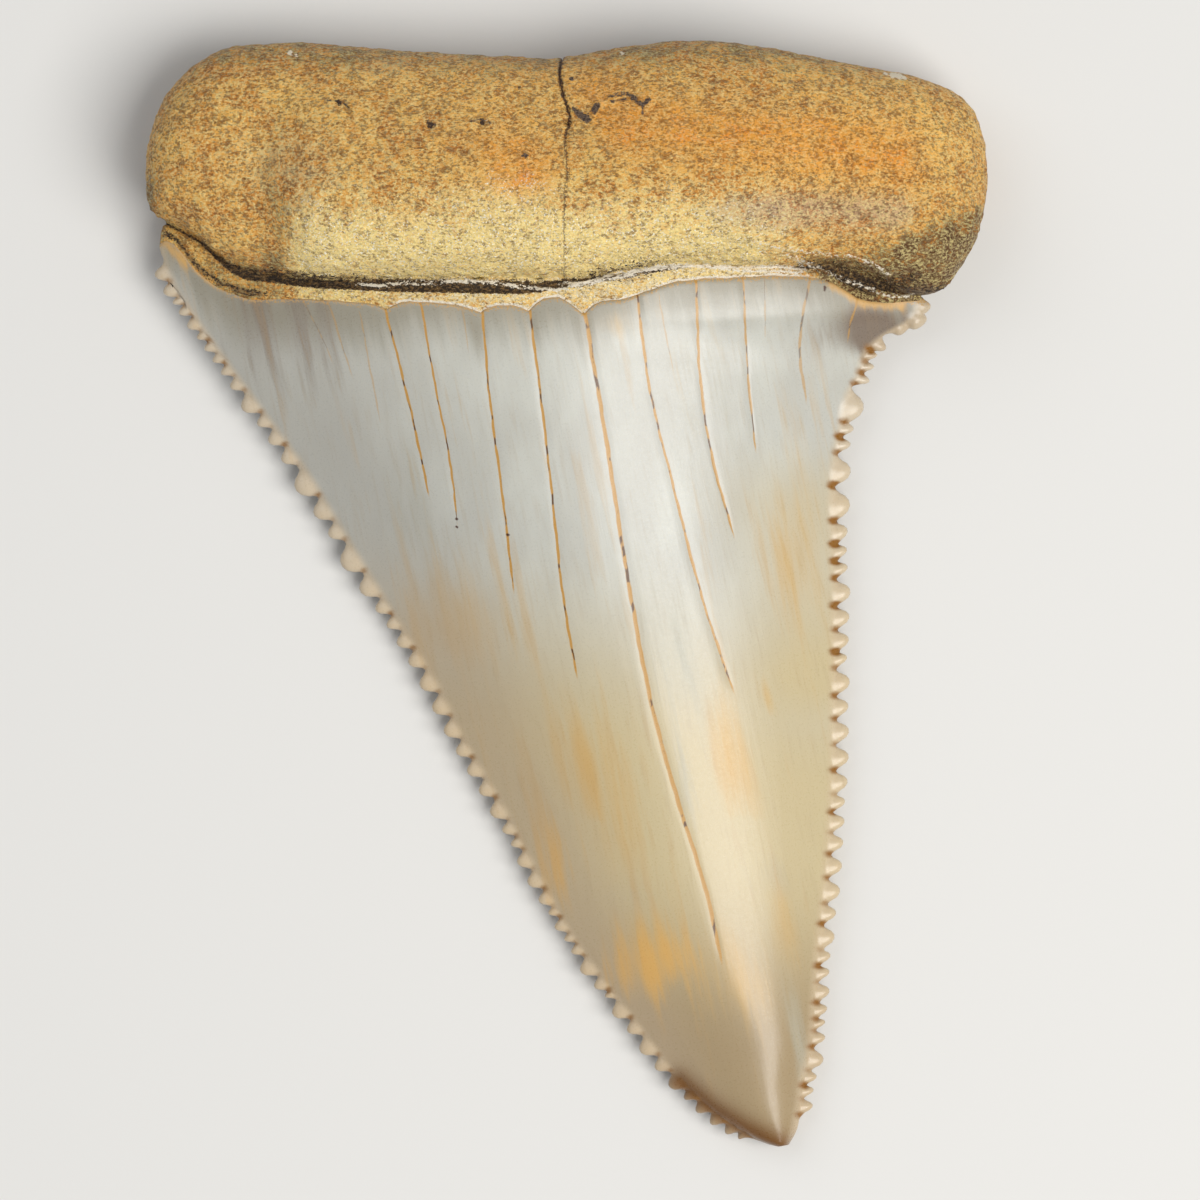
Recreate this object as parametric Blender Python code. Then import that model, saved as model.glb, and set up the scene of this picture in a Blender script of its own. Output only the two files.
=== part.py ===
"""Fossil great white shark tooth: one solid, root and enamelled crown grown together.

The tooth lies on its flat outer (labial) face. X runs across the root, the blade points to -Y,
and the convex inner (lingual) face looks up. Lengths are in millimetres and are scaled once,
where a mesh is made. The origin is the middle of the tooth's outline, on the resting plane.
"""

import math

import bmesh
import bpy
import numpy as np
from mathutils import Matrix, Vector

MM = 0.001

# Resolution of the faceted solid
ROOT_SIDES = 22
ROOT_STEPS_PER_STATION = 2
CROWN_COLUMNS = 12
COLUMN_CROWDING = 0.5
LOBE_SEGMENTS = 8
LOBE_RINGS = 4
PATH_STEPS = 600

# Root: matching stations of its top and bottom outline, from the left end to the right end
ROOT_TOP = (
    (-24.68, 24.10), (-24.55, 26.30), (-23.95, 28.60), (-22.80, 30.40), (-21.30, 31.55),
    (-19.25, 32.25), (-16.00, 32.40), (-12.80, 32.25), (-8.40, 31.90), (-4.00, 31.65),
    (-0.15, 31.45), (3.10, 32.05), (7.20, 32.50), (11.30, 32.20), (14.85, 31.55),
    (17.80, 31.00), (20.15, 30.55), (22.35, 29.80), (23.70, 28.65), (24.35, 27.25),
    (24.60, 25.80), (24.68, 24.50),
)
ROOT_BOTTOM = (
    (-24.68, 24.10), (-24.50, 23.00), (-23.70, 22.10), (-22.45, 21.50), (-21.25, 20.55),
    (-19.25, 19.35), (-16.20, 18.60), (-12.80, 18.30), (-8.40, 18.30), (-4.00, 18.25),
    (-0.15, 18.10), (3.10, 18.40), (7.20, 19.00), (11.30, 19.15), (14.85, 19.30),
    (17.30, 18.80), (19.55, 17.90), (21.40, 17.80), (22.85, 19.05), (23.90, 20.80),
    (24.45, 22.75), (24.68, 24.50),
)
# Heights of the root's inner face and of its outer face at the same stations
ROOT_INNER = (
    4.0, 5.9, 7.2, 8.1, 8.6, 8.9, 9.2, 9.7, 10.1, 10.3, 10.3,
    10.3, 10.1, 9.8, 9.4, 9.0, 8.5, 7.8, 6.9, 5.9, 4.9, 4.2,
)
ROOT_OUTER = (
    4.0, 2.2, 1.1, 0.4, 0.0, -0.12, -0.15, 0.0, 0.25, 0.45, 0.5,
    0.45, 0.3, 0.05, -0.12, -0.15, 0.0, 0.4, 1.0, 1.9, 3.0, 4.2,
)
END_STATIONS = (0.35, 0.65)

# Root section: its widest level, how round its corners are, and how much lower its top side is
ROOT_MIDDLE_SHARE = 0.42
TOP_ROUNDNESS = 2 / 2.4
BOTTOM_ROUNDNESS = 2 / 3.0
TOP_LOWERING = 0.06

# Bulge along the root's side towards the crown: its ends along X and its start and crest across
BULGE_LEFT = -16.2
BULGE_LEFT_FADE = 2.0
BULGE_RIGHT = 13.5
BULGE_RIGHT_FADE = 3.5
BULGE_HEIGHT = 1.5
BULGE_START = 0.75
BULGE_CREST = -0.35

# Crack that runs across the root at this station: its sideways wander along Y, width and depth
CRACK_STATION = 10
CRACK_WANDER = (
    (18.0, 0.05), (21.0, 0.0), (23.3, 0.06), (24.5, 0.18), (26.3, 0.06), (27.7, 0.30),
    (29.2, -0.10), (30.4, -0.28), (31.6, -0.10),
)
CRACK_HALF_WIDTH = 0.05
CRACK_REACH = 0.3
CRACK_DEPTH = 0.45

# Pits in the root's inner face: X, Y, radius; their shape and the rise of their middle
ROOT_PITS = ((0.15, 27.60, 0.42), (-13.10, 28.60, 0.50), (-7.80, 27.30, 0.35), (-4.50, 27.35, 0.45))
PIT_SHAPE = (1.0, 0.8, 0.7)
PIT_RISE = 0.1
ABOVE_ROOT = 50.0

# Blade edges inside the serrations: Y against X, from the shoulder under the root to the tip
LEFT_EDGE = (
    (23.2, -23.30), (21.0, -24.00), (19.0, -23.70), (15.8, -21.70), (10.8, -18.10),
    (7.85, -15.95), (3.2, -13.10), (-0.2, -11.00), (-4.5, -8.30), (-8.6, -6.20),
    (-12.2, -4.10), (-16.4, -1.90), (-20.1, 0.20), (-22.7, 2.00), (-25.3, 4.00),
    (-28.4, 6.40), (-30.0, 7.95), (-31.4, 9.80), (-32.0, 10.90), (-32.4, 12.00),
)
RIGHT_EDGE = (
    (23.2, 19.60), (20.5, 20.30), (18.6, 20.90), (17.3, 20.90), (16.3, 20.40),
    (15.5, 19.00), (14.8, 18.10), (13.0, 17.30), (12.0, 16.75), (9.9, 16.25),
    (8.0, 15.90), (0.8, 15.90), (-6.1, 15.85), (-10.4, 15.80), (-14.1, 15.60),
    (-17.0, 15.35), (-20.5, 14.95), (-23.5, 14.75), (-26.6, 14.50), (-28.8, 14.00),
    (-30.6, 13.75), (-31.6, 13.50), (-32.4, 13.05),
)
TIP = (12.45, -32.5, 1.4)

# Where the enamel starts below the root: X against Y
ENAMEL_TOP = (
    (-24.1, 20.7), (-23.6, 20.9), (-21.6, 18.9), (-19.3, 17.6), (-15.7, 17.4), (-10.5, 16.7),
    (-7.5, 16.9), (-5.2, 16.4), (-3.1, 16.8), (-2.2, 16.5), (-0.5, 17.4), (1.0, 16.4),
    (3.1, 17.3), (6.0, 18.2), (12.5, 18.7), (15.4, 18.4), (17.2, 17.45), (20.9, 17.4),
)
ENAMEL_LEVEL = 17.5
ENAMEL_FADE_LENGTH = 14.0
ENAMEL_THICKNESS = 0.12
NECK_HEIGHT = 1.0
NECK_TOP_RISE = 1.6
GROOVE_DEPTH = 0.45
OUTER_RISE = 4.0

# Levels of the crown's sections below the enamel line
CROWN_LEVELS = (
    17.2, 15.7, 13.8, 11.5, 9.0, 6.2, 3.2, 0.0, -3.2, -6.4, -9.6, -12.7, -15.7,
    -18.5, -21.2, -23.6, -25.8, -27.7, -29.3, -30.5, -31.6, -32.35,
)

# Crown heights against Y: the inner ridge, the sharp edge and the outer face
RIDGE_HEIGHT = (
    (-32.5, 1.8), (-31.5, 2.2), (-29.0, 2.8), (-24.0, 3.5), (-16.0, 4.6), (-6.0, 6.0),
    (4.0, 7.2), (12.0, 8.2), (18.0, 8.6), (23.0, 8.6),
)
EDGE_HEIGHT = ((-32.5, 1.4), (-20.0, 1.45), (0.0, 1.5), (10.0, 1.8), (17.0, 2.5), (23.0, 3.2))
OUTER_HEIGHT = (
    (-32.5, 1.0), (-30.0, 0.6), (-24.0, 0.25), (-16.0, 0.0), (-8.0, -0.10), (0.0, -0.03),
    (8.0, 0.2), (17.0, 0.5), (23.0, 0.6),
)
RIDGE_PLACE = ((-32.5, 0.6), (-28.0, 0.66), (-20.0, 0.56), (0.0, 0.5), (23.0, 0.5))
INNER_POWER = 1.15
OUTER_POWER = 0.8
OUTER_LIFT_SHARE = 0.5
EDGE_THINNING = 3.0

# Serrations: the length of each lobe along its edge, from the root's shoulder to the tip
LEFT_LOBES = (
    1.15, 1.05, 0.60, 0.80, 1.03, 0.75, 0.84, 0.84, 0.91, 1.07, 1.64, 1.10, 1.32, 1.40,
    2.20, 1.72, 1.38, 2.20, 1.80, 1.25, 1.11, 1.32, 1.38, 1.65, 1.58, 1.51, 1.32, 1.38,
    1.38, 1.52, 1.10, 0.89, 1.31, 1.38, 1.17, 0.77, 1.05, 0.77, 0.91, 1.46, 1.09, 0.66,
    1.46, 1.23, 1.54, 1.23, 1.41, 0.91, 1.10, 1.09, 0.98, 0.66,
)
RIGHT_LOBES = (
    1.00, 0.70, 0.70, 0.80, 2.25, 0.90, 0.95, 1.90, 2.05, 1.35, 1.00, 1.00, 1.60, 1.40,
    1.30, 0.95, 1.60, 1.35, 1.50, 1.50, 1.40, 1.05, 1.20, 1.25, 1.40, 1.50, 1.20, 1.50,
    0.95, 0.95, 1.20, 0.95, 0.70, 0.95, 1.40, 0.90, 0.80, 0.95,
)
LEFT_LOBE_RANGE = (19.6, -31.9)
RIGHT_LOBE_RANGE = (15.2, -30.6)
LEFT_REACH = (0.26, 0.24)
RIGHT_REACH = (0.45, 0.16)
SHOULDER_LOBES = ((20.55, 16.35, 0.62), (20.85, 17.10, 0.55), (19.55, 15.95, 0.60))
SHOULDER_FLATNESS = 0.8
LOBE_TILT = math.radians(20.0)
LOBE_PLACE = 0.55
LOBE_HALF_LENGTH = 0.54
LOBE_ANCHOR = (0.18, 0.12)
LOBE_THICKNESS = (0.34, 0.12)

# Slab whose top is the resting plane
SLAB_WIDTH = 80.0
SLAB_THICKNESS = 10.0


def clear_scene():
    """Remove the objects that a new file starts with."""
    for old in list(bpy.data.objects):
        bpy.data.objects.remove(old, do_unlink=True)


def smooth_curve(points, at):
    """Values of the smooth curve through (place, value) pairs, at the given places."""
    table = np.array(sorted(points))
    place, value = table[:, 0], table[:, 1]
    slope = np.gradient(value, place)
    at = np.clip(np.asarray(at, dtype=float), place[0], place[-1])
    i = np.clip(np.searchsorted(place, at) - 1, 0, len(place) - 2)
    step = place[i + 1] - place[i]
    t = (at - place[i]) / step
    return (
        (1 + 2 * t) * (1 - t) ** 2 * value[i]
        + t * (1 - t) ** 2 * step * slope[i]
        + t ** 2 * (3 - 2 * t) * value[i + 1]
        + t ** 2 * (t - 1) * step * slope[i + 1]
    )


def smooth_step(low, high, x):
    """0 below low, 1 above high, and a soft rise between them."""
    t = np.clip((x - low) / (high - low), 0.0, 1.0)
    return t * t * (3 - 2 * t)


def make_material(name, colour, roughness):
    """A plain opaque material."""
    material = bpy.data.materials.new(name)
    material.use_nodes = True
    shader = material.node_tree.nodes["Principled BSDF"]
    shader.inputs["Base Color"].default_value = (*colour, 1.0)
    shader.inputs["Roughness"].default_value = roughness
    shader.inputs["Metallic"].default_value = 0.0
    return material


def mesh_object(name, bm, collection, materials, slot):
    """Turn a bmesh in millimetres into an object in metres whose faces use one slot."""
    bmesh.ops.recalc_face_normals(bm, faces=bm.faces)
    for face in bm.faces:
        face.material_index = slot
        face.smooth = True
    bmesh.ops.scale(bm, vec=Vector((MM, MM, MM)), verts=bm.verts)
    mesh = bpy.data.meshes.new(name)
    bm.to_mesh(mesh)
    bm.free()
    for material in materials:
        mesh.materials.append(material)
    made = bpy.data.objects.new(name, mesh)
    collection.objects.link(made)
    return made


def loft(first, rings, last):
    """A closed skin over rings of equal length, drawn together to a point at each end."""
    bm = bmesh.new()
    start = bm.verts.new(first)
    end = bm.verts.new(last)
    rows = [[bm.verts.new(point) for point in ring] for ring in rings]
    count = len(rows[0])
    for j in range(count):
        k = (j + 1) % count
        bm.faces.new((start, rows[0][j], rows[0][k]))
        bm.faces.new((end, rows[-1][k], rows[-1][j]))
        for row, following in zip(rows, rows[1:]):
            bm.faces.new((row[j], following[j], following[k], row[k]))
    return bm


def root_stations():
    """Station numbers of the root's sections, with three close ones across the crack."""
    steps = ROOT_STEPS_PER_STATION
    last = len(ROOT_TOP) - 1
    ends = [*END_STATIONS, *(last - end for end in END_STATIONS)]
    inner = [i / steps for i in range(steps, (last - 1) * steps + 1)]
    crack = [CRACK_STATION - CRACK_HALF_WIDTH, CRACK_STATION + CRACK_HALF_WIDTH]
    return sorted(ends + inner + crack)


def station_value(values, station):
    """A value given at each station, read between them."""
    return float(smooth_curve(tuple(enumerate(values)), station))


def root_section(station):
    """Closed section of the root: a rounded box with the inner face higher towards the crown."""
    top = np.array([station_value([p[i] for p in ROOT_TOP], station) for i in (0, 1)])
    bottom = np.array([station_value([p[i] for p in ROOT_BOTTOM], station) for i in (0, 1)])
    inner = station_value(ROOT_INNER, station)
    outer = station_value(ROOT_OUTER, station)
    middle = outer + ROOT_MIDDLE_SHARE * (inner - outer)
    points = []
    for j in range(ROOT_SIDES):
        angle = 2 * math.pi * j / ROOT_SIDES
        across, up = math.cos(angle), math.sin(angle)
        power = TOP_ROUNDNESS if across > 0 else BOTTOM_ROUNDNESS
        across = math.copysign(abs(across) ** power, across)
        up = math.copysign(abs(up) ** power, up)
        x, y = (top + bottom) / 2 + (top - bottom) / 2 * across
        bulge = smooth_step(BULGE_LEFT - BULGE_LEFT_FADE, BULGE_LEFT + BULGE_LEFT_FADE, x)
        bulge *= 1 - smooth_step(BULGE_RIGHT - BULGE_RIGHT_FADE, BULGE_RIGHT + BULGE_RIGHT_FADE, x)
        bulge *= BULGE_HEIGHT * smooth_step(BULGE_START, BULGE_CREST, across)
        height = (inner - middle) * (1 - TOP_LOWERING * across) + bulge
        z = middle + up * (height if up > 0 else middle - outer)
        nearness = math.exp(-(((station - CRACK_STATION) / CRACK_REACH) ** 2))
        x += nearness * float(smooth_curve(CRACK_WANDER, y))
        if station == CRACK_STATION and (up > 0 or across > 0):
            y -= CRACK_DEPTH * max(0.0, across)
            z -= CRACK_DEPTH * max(0.0, up)
        points.append((x, y, z))
    return points


def root_body():
    """The root as a loft of sections from its left end to its right end."""
    rings = [root_section(station) for station in root_stations()]
    left = (*ROOT_TOP[0], ROOT_INNER[0])
    right = (*ROOT_TOP[-1], ROOT_INNER[-1])
    return loft(left, rings, right)


def crown_point(across, y, inner_side, lift):
    """Point of the crown's skin at a share of the width between the two edges."""
    left = float(smooth_curve(LEFT_EDGE, y))
    right = float(smooth_curve(RIGHT_EDGE, y))
    ridge_place = float(smooth_curve(RIDGE_PLACE, y))
    span = ridge_place if across < ridge_place else 1 - ridge_place
    off_ridge = min(1.0, abs(across - ridge_place) / span)
    edge = float(smooth_curve(EDGE_HEIGHT, y))
    crest = float(smooth_curve(RIDGE_HEIGHT if inner_side else OUTER_HEIGHT, y))
    power = INNER_POWER if inner_side else OUTER_POWER
    swell = (1 - off_ridge ** 2) ** power
    lift *= min(1.0, EDGE_THINNING * (1 - off_ridge))
    z = edge + (crest - edge) * swell + (lift if inner_side else -OUTER_LIFT_SHARE * lift)
    return (left + (right - left) * across, y, z)


def crown_ring(height_at, lift, outer_rise):
    """Closed ring round the crown, with Y from a function of the share of the width."""
    even = np.linspace(0.0, 1.0, CROWN_COLUMNS)
    crowded = (1 - np.cos(math.pi * even)) / 2
    shares = [float(share) for share in even + COLUMN_CROWDING * (crowded - even)]
    inner = [crown_point(share, height_at(share), True, lift) for share in shares]
    outer = [
        crown_point(share, height_at(share) + outer_rise * math.sin(math.pi * share), False, lift)
        for share in shares[-2:0:-1]
    ]
    return inner + outer


def enamel_line(share):
    """Height along Y of the enamel's upper border, at a share of the width."""
    x = LEFT_EDGE[1][1] + (RIGHT_EDGE[2][1] - LEFT_EDGE[1][1]) * share
    return float(smooth_curve(ENAMEL_TOP, x))


def crown_body():
    """The crown and its neck, from inside the root down to the tip."""
    rings = [
        crown_ring(lambda share: enamel_line(share) + NECK_HEIGHT + NECK_TOP_RISE, 0.0, OUTER_RISE),
        crown_ring(lambda share: enamel_line(share) + NECK_HEIGHT, -GROOVE_DEPTH, OUTER_RISE),
        crown_ring(lambda share: enamel_line(share) + NECK_HEIGHT / 2, 0.0, OUTER_RISE),
        crown_ring(enamel_line, 0.0, OUTER_RISE),
    ]
    for level in CROWN_LEVELS:
        fade = float(smooth_step(ENAMEL_LEVEL - ENAMEL_FADE_LENGTH, ENAMEL_LEVEL, level))

        def height_at(share):
            return level + fade * (enamel_line(share) - ENAMEL_LEVEL)

        rings.append(crown_ring(height_at, ENAMEL_THICKNESS, OUTER_RISE * fade))
    top = np.mean(rings[0], axis=0)
    return loft(top, rings, TIP)


def add_lobe(bm, centre, radii, turn):
    """Add one rounded lobe, turned about Z."""
    placed = Matrix.Translation(centre) @ Matrix.Rotation(turn, 4, "Z") @ Matrix.Diagonal((*radii, 1))
    bmesh.ops.create_uvsphere(
        bm, u_segments=LOBE_SEGMENTS, v_segments=LOBE_RINGS, radius=1.0, matrix=placed
    )


def edge_path(edge, start, end):
    """Closely spaced points along a blade edge, and the length run at each."""
    levels = np.linspace(start, end, PATH_STEPS)
    path = np.column_stack((smooth_curve(edge, levels), levels))
    run = np.concatenate(([0.0], np.cumsum(np.linalg.norm(np.diff(path, axis=0), axis=1))))
    return path, run


def add_serrations(bm, edge, lengths, ends, reach_rule, outward):
    """A row of lobes along one edge, each leaning to the tip; outward is -1 left, 1 right."""
    path, run = edge_path(edge, *ends)
    borders = np.concatenate(([0.0], np.cumsum(lengths)))
    borders *= run[-1] / borders[-1]
    for start, end in zip(borders, borders[1:]):
        length = end - start
        place = np.array([np.interp(start + LOBE_PLACE * length, run, path[:, i]) for i in (0, 1)])
        ahead = np.array([np.interp(end, run, path[:, i]) for i in (0, 1)])
        along = (ahead - place) / np.linalg.norm(ahead - place)
        normal = outward * np.array((-along[1], along[0]))
        reach = reach_rule[0] + reach_rule[1] * length
        anchor = LOBE_ANCHOR[0] + LOBE_ANCHOR[1] * length
        thickness = LOBE_THICKNESS[0] + LOBE_THICKNESS[1] * length
        centre = place - normal * anchor
        height = float(smooth_curve(EDGE_HEIGHT, place[1]))
        turn = math.atan2(along[1], along[0]) + outward * LOBE_TILT
        add_lobe(bm, (*centre, height), (LOBE_HALF_LENGTH * length, reach + anchor, thickness), turn)


def serrations():
    """Every lobe of the two cutting edges, and the last ones on the right shoulder."""
    bm = bmesh.new()
    add_serrations(bm, LEFT_EDGE, LEFT_LOBES, LEFT_LOBE_RANGE, LEFT_REACH, -1)
    add_serrations(bm, RIGHT_EDGE, RIGHT_LOBES, RIGHT_LOBE_RANGE, RIGHT_REACH, 1)
    for x, y, radius in SHOULDER_LOBES:
        height = float(smooth_curve(EDGE_HEIGHT, y))
        add_lobe(bm, (x, y, height), (radius, radius, SHOULDER_FLATNESS * radius), 0.0)
    return bm


def pit_cutters(root):
    """Shallow round cutters set into the root's inner face."""
    bm = bmesh.new()
    for x, y, radius in ROOT_PITS:
        place = root.ray_cast(Vector((x, y, ABOVE_ROOT)) * MM, Vector((0, 0, -1)))[1]
        radii = [radius * share for share in PIT_SHAPE]
        add_lobe(bm, (x, y, place.z / MM + PIT_RISE), radii, 0.0)
    return bm


def resting_plane_cutter():
    """A slab under the tooth that leaves small flat spots where it rests."""
    bm = bmesh.new()
    bmesh.ops.create_cube(bm, size=1.0)
    bmesh.ops.scale(bm, vec=Vector((SLAB_WIDTH, SLAB_WIDTH, SLAB_THICKNESS)), verts=bm.verts)
    bmesh.ops.translate(bm, vec=Vector((0.0, 0.0, -SLAB_THICKNESS / 2)), verts=bm.verts)
    return bm


def add_boolean(target, other, operation, overlapping):
    """Join or cut with another object, which then only guides the shape."""
    other.hide_render = True
    other.display_type = "WIRE"
    modifier = target.modifiers.new(other.name, "BOOLEAN")
    modifier.operation = operation
    modifier.solver = "EXACT"
    modifier.use_self = overlapping
    modifier.object = other


def main():
    clear_scene()
    scene_root = bpy.context.scene.collection
    parts = bpy.data.collections.new("shark_tooth")
    cutters = bpy.data.collections.new("cutters")
    scene_root.children.link(parts)
    scene_root.children.link(cutters)
    materials = (
        make_material("root_bone", (0.42, 0.28, 0.12), 0.7),
        make_material("enamel", (0.66, 0.60, 0.46), 0.3),
    )
    tooth = mesh_object("shark_tooth", root_body(), parts, materials, 0)
    crown = mesh_object("crown_form", crown_body(), cutters, materials, 1)
    lobes = mesh_object("serration_lobes", serrations(), cutters, materials, 1)
    pits = mesh_object("root_pits", pit_cutters(tooth), cutters, materials, 0)
    plane = mesh_object("resting_plane", resting_plane_cutter(), cutters, materials, 0)
    add_boolean(tooth, crown, "UNION", False)
    add_boolean(tooth, lobes, "UNION", True)
    add_boolean(tooth, pits, "DIFFERENCE", False)
    add_boolean(tooth, plane, "DIFFERENCE", False)


main()
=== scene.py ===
"""Looks of the fossil great white shark tooth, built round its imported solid.

The tooth lies on its flat outer (labial) face: X runs across the root, the blade points to -Y and
the convex inner (lingual) face looks up. Shapes are worked out in millimetres and scaled once,
where a mesh is made. Shader distances are in millimetres too.
"""

import math
from collections import Counter, namedtuple

import bmesh
import bpy
import numpy as np
from mathutils import Matrix, Vector, kdtree, noise


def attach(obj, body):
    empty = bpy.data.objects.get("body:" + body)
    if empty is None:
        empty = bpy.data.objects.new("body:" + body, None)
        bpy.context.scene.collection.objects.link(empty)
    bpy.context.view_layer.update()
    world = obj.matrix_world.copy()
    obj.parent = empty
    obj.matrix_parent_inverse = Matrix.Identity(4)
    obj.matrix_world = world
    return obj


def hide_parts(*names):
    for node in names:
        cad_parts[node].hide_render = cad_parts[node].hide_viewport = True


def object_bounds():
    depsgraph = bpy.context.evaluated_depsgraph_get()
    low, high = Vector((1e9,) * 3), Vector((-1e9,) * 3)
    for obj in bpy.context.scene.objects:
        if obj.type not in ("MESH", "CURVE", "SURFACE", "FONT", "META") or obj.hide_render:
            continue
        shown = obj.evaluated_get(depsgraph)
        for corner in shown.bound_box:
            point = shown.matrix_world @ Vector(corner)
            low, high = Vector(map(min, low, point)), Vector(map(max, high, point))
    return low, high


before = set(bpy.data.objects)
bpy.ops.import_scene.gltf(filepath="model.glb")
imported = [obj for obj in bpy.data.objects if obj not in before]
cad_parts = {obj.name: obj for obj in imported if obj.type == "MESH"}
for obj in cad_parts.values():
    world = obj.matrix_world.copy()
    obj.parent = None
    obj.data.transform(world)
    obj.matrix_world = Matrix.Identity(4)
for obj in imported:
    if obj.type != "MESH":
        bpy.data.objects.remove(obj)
cad_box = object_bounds()

MM = 0.001
ROOT_SLOT = 0
ENAMEL_SLOT = 1
LOBE_SLOT = 2
NECK_SLOT = 3
SLOT_MATERIALS = ("root_bone", "enamel", "lobe_enamel", "neck_bone")

# Resolution of the fine surface
ROOT_STATIONS = 286
ROOT_INNER_SIDES = 116
ROOT_OUTER_SIDES = 40
CROWN_ROW_STEP = 0.235
CROWN_COLUMN_STEP = 0.50
CROWN_OUTER_COLUMNS = 42
LOBE_SEGMENTS = 20
LOBE_RINGS = 12

# Root: matching stations of its top and bottom outline, from the left end to the right end
ROOT_TOP = (
    (-24.68, 24.10), (-24.55, 26.30), (-23.95, 28.60), (-22.80, 30.40), (-21.30, 31.55),
    (-19.25, 32.25), (-16.00, 32.40), (-12.80, 32.25), (-8.40, 31.90), (-4.00, 31.65),
    (-0.15, 31.45), (3.10, 32.05), (7.20, 32.50), (11.30, 32.20), (14.85, 31.55),
    (17.80, 31.00), (20.15, 30.55), (22.35, 29.80), (23.70, 28.65), (24.35, 27.25),
    (24.60, 25.80), (24.68, 24.50),
)
ROOT_BOTTOM = (
    (-24.68, 24.10), (-24.50, 23.00), (-23.70, 22.10), (-22.45, 21.50), (-21.25, 20.55),
    (-19.25, 19.35), (-16.20, 18.60), (-12.80, 18.30), (-8.40, 18.30), (-4.00, 18.25),
    (-0.15, 18.10), (3.10, 18.40), (7.20, 19.00), (11.30, 19.15), (14.85, 19.30),
    (17.30, 18.80), (19.55, 17.90), (21.40, 17.80), (22.85, 19.05), (23.90, 20.80),
    (24.45, 22.75), (24.68, 24.50),
)
# Heights of the root's inner face and of its outer face at the same stations
ROOT_INNER = (
    4.0, 5.9, 7.2, 8.1, 8.6, 8.9, 9.2, 9.7, 10.1, 10.3, 10.3,
    10.3, 10.1, 9.8, 9.4, 9.0, 8.5, 7.8, 6.9, 5.9, 4.9, 4.2,
)
ROOT_OUTER = (
    4.0, 2.2, 1.1, 0.4, 0.0, -0.12, -0.15, 0.0, 0.25, 0.45, 0.5,
    0.45, 0.3, 0.05, -0.12, -0.15, 0.0, 0.4, 1.0, 1.9, 3.0, 4.2,
)
BULGE_LEFT = -16.2
BULGE_LEFT_FADE = 2.0
BULGE_RIGHT = 13.5
BULGE_RIGHT_FADE = 3.5
BULGE_HEIGHT = 1.5

# Crack that runs across the root at this station, and its sideways wander along Y
CRACK_STATION = 10
CRACK_WANDER = (
    (18.0, 0.05), (21.0, 0.0), (23.3, 0.06), (24.5, 0.18), (26.3, 0.06), (27.7, 0.30),
    (29.2, -0.10), (30.4, -0.28), (31.6, -0.10),
)
CRACK_STEPS = (-0.075, -0.03, 0.0, 0.03, 0.075)
CRACK_DEPTH = ((18.0, 0.04), (25.0, 0.06), (27.0, 0.08), (28.5, 0.12), (31.6, 0.16))
CRACK_WIDTH = ((18.0, 0.03), (22.0, 0.05), (26.5, 0.07), (27.3, 0.09), (28.2, 0.10), (31.6, 0.11))

# Blade edges inside the serrations: Y against X, from the shoulder under the root to the tip
LEFT_EDGE = (
    (23.2, -23.30), (21.0, -24.00), (19.0, -23.70), (15.8, -21.70), (10.8, -18.10),
    (7.85, -15.95), (3.2, -13.10), (-0.2, -11.00), (-4.5, -8.30), (-8.6, -6.20),
    (-12.2, -4.10), (-16.4, -1.90), (-20.1, 0.20), (-22.7, 2.00), (-25.3, 4.00),
    (-28.4, 6.40), (-30.0, 7.95), (-31.4, 9.80), (-32.0, 10.90), (-32.4, 12.00),
)
RIGHT_EDGE = (
    (23.2, 19.60), (20.5, 20.30), (18.6, 20.90), (17.3, 20.90), (16.3, 20.40),
    (15.5, 19.00), (14.8, 18.10), (13.0, 17.30), (12.0, 16.75), (9.9, 16.25),
    (8.0, 15.90), (0.8, 15.90), (-6.1, 15.85), (-10.4, 15.80), (-14.1, 15.60),
    (-17.0, 15.35), (-20.5, 14.95), (-23.5, 14.75), (-26.6, 14.50), (-28.8, 14.00),
    (-30.6, 13.75), (-31.6, 13.50), (-32.4, 13.05),
)
TIP = (12.45, -32.5, 1.4)
TIP_LEVEL = -32.35

# Enamel border below the root, X against Y, with the points of root tissue that dip into it
ENAMEL_TOP = (
    (-24.1, 20.7), (-23.6, 20.9), (-21.6, 18.9), (-19.3, 17.6), (-15.7, 17.4), (-12.0, 17.1),
    (-11.0, 16.95), (-10.55, 16.75), (-10.1, 16.95), (-7.5, 17.03), (-6.3, 16.9), (-5.7, 16.74),
    (-5.1, 16.44), (-4.7, 16.7), (-3.5, 16.85), (-2.7, 16.8), (-2.2, 16.56), (-1.9, 16.9),
    (-1.3, 17.26), (-0.5, 17.38), (0.45, 16.8), (1.05, 16.45), (1.45, 16.9), (2.0, 17.1),
    (3.4, 17.3), (4.3, 17.6), (6.0, 18.2), (7.2, 18.4), (9.5, 18.55), (12.5, 18.7),
    (15.4, 18.4), (17.2, 17.45), (20.9, 17.4),
)
BORDER_RIPPLE = 0.04
GROOVE_LINE = (
    (-24.1, 22.0), (-23.4, 21.8), (-22.5, 21.3), (-21.6, 20.8), (-20.75, 20.0), (-20.0, 19.3),
    (-19.2, 18.75), (-17.2, 18.4), (-15.7, 18.15), (-11.0, 17.8), (-5.15, 17.62), (-2.2, 17.6),
    (-0.75, 17.8), (1.9, 18.25), (4.25, 18.7), (6.6, 19.05), (13.1, 19.15), (15.45, 19.1),
    (17.6, 18.2), (20.9, 17.75),
)
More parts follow.
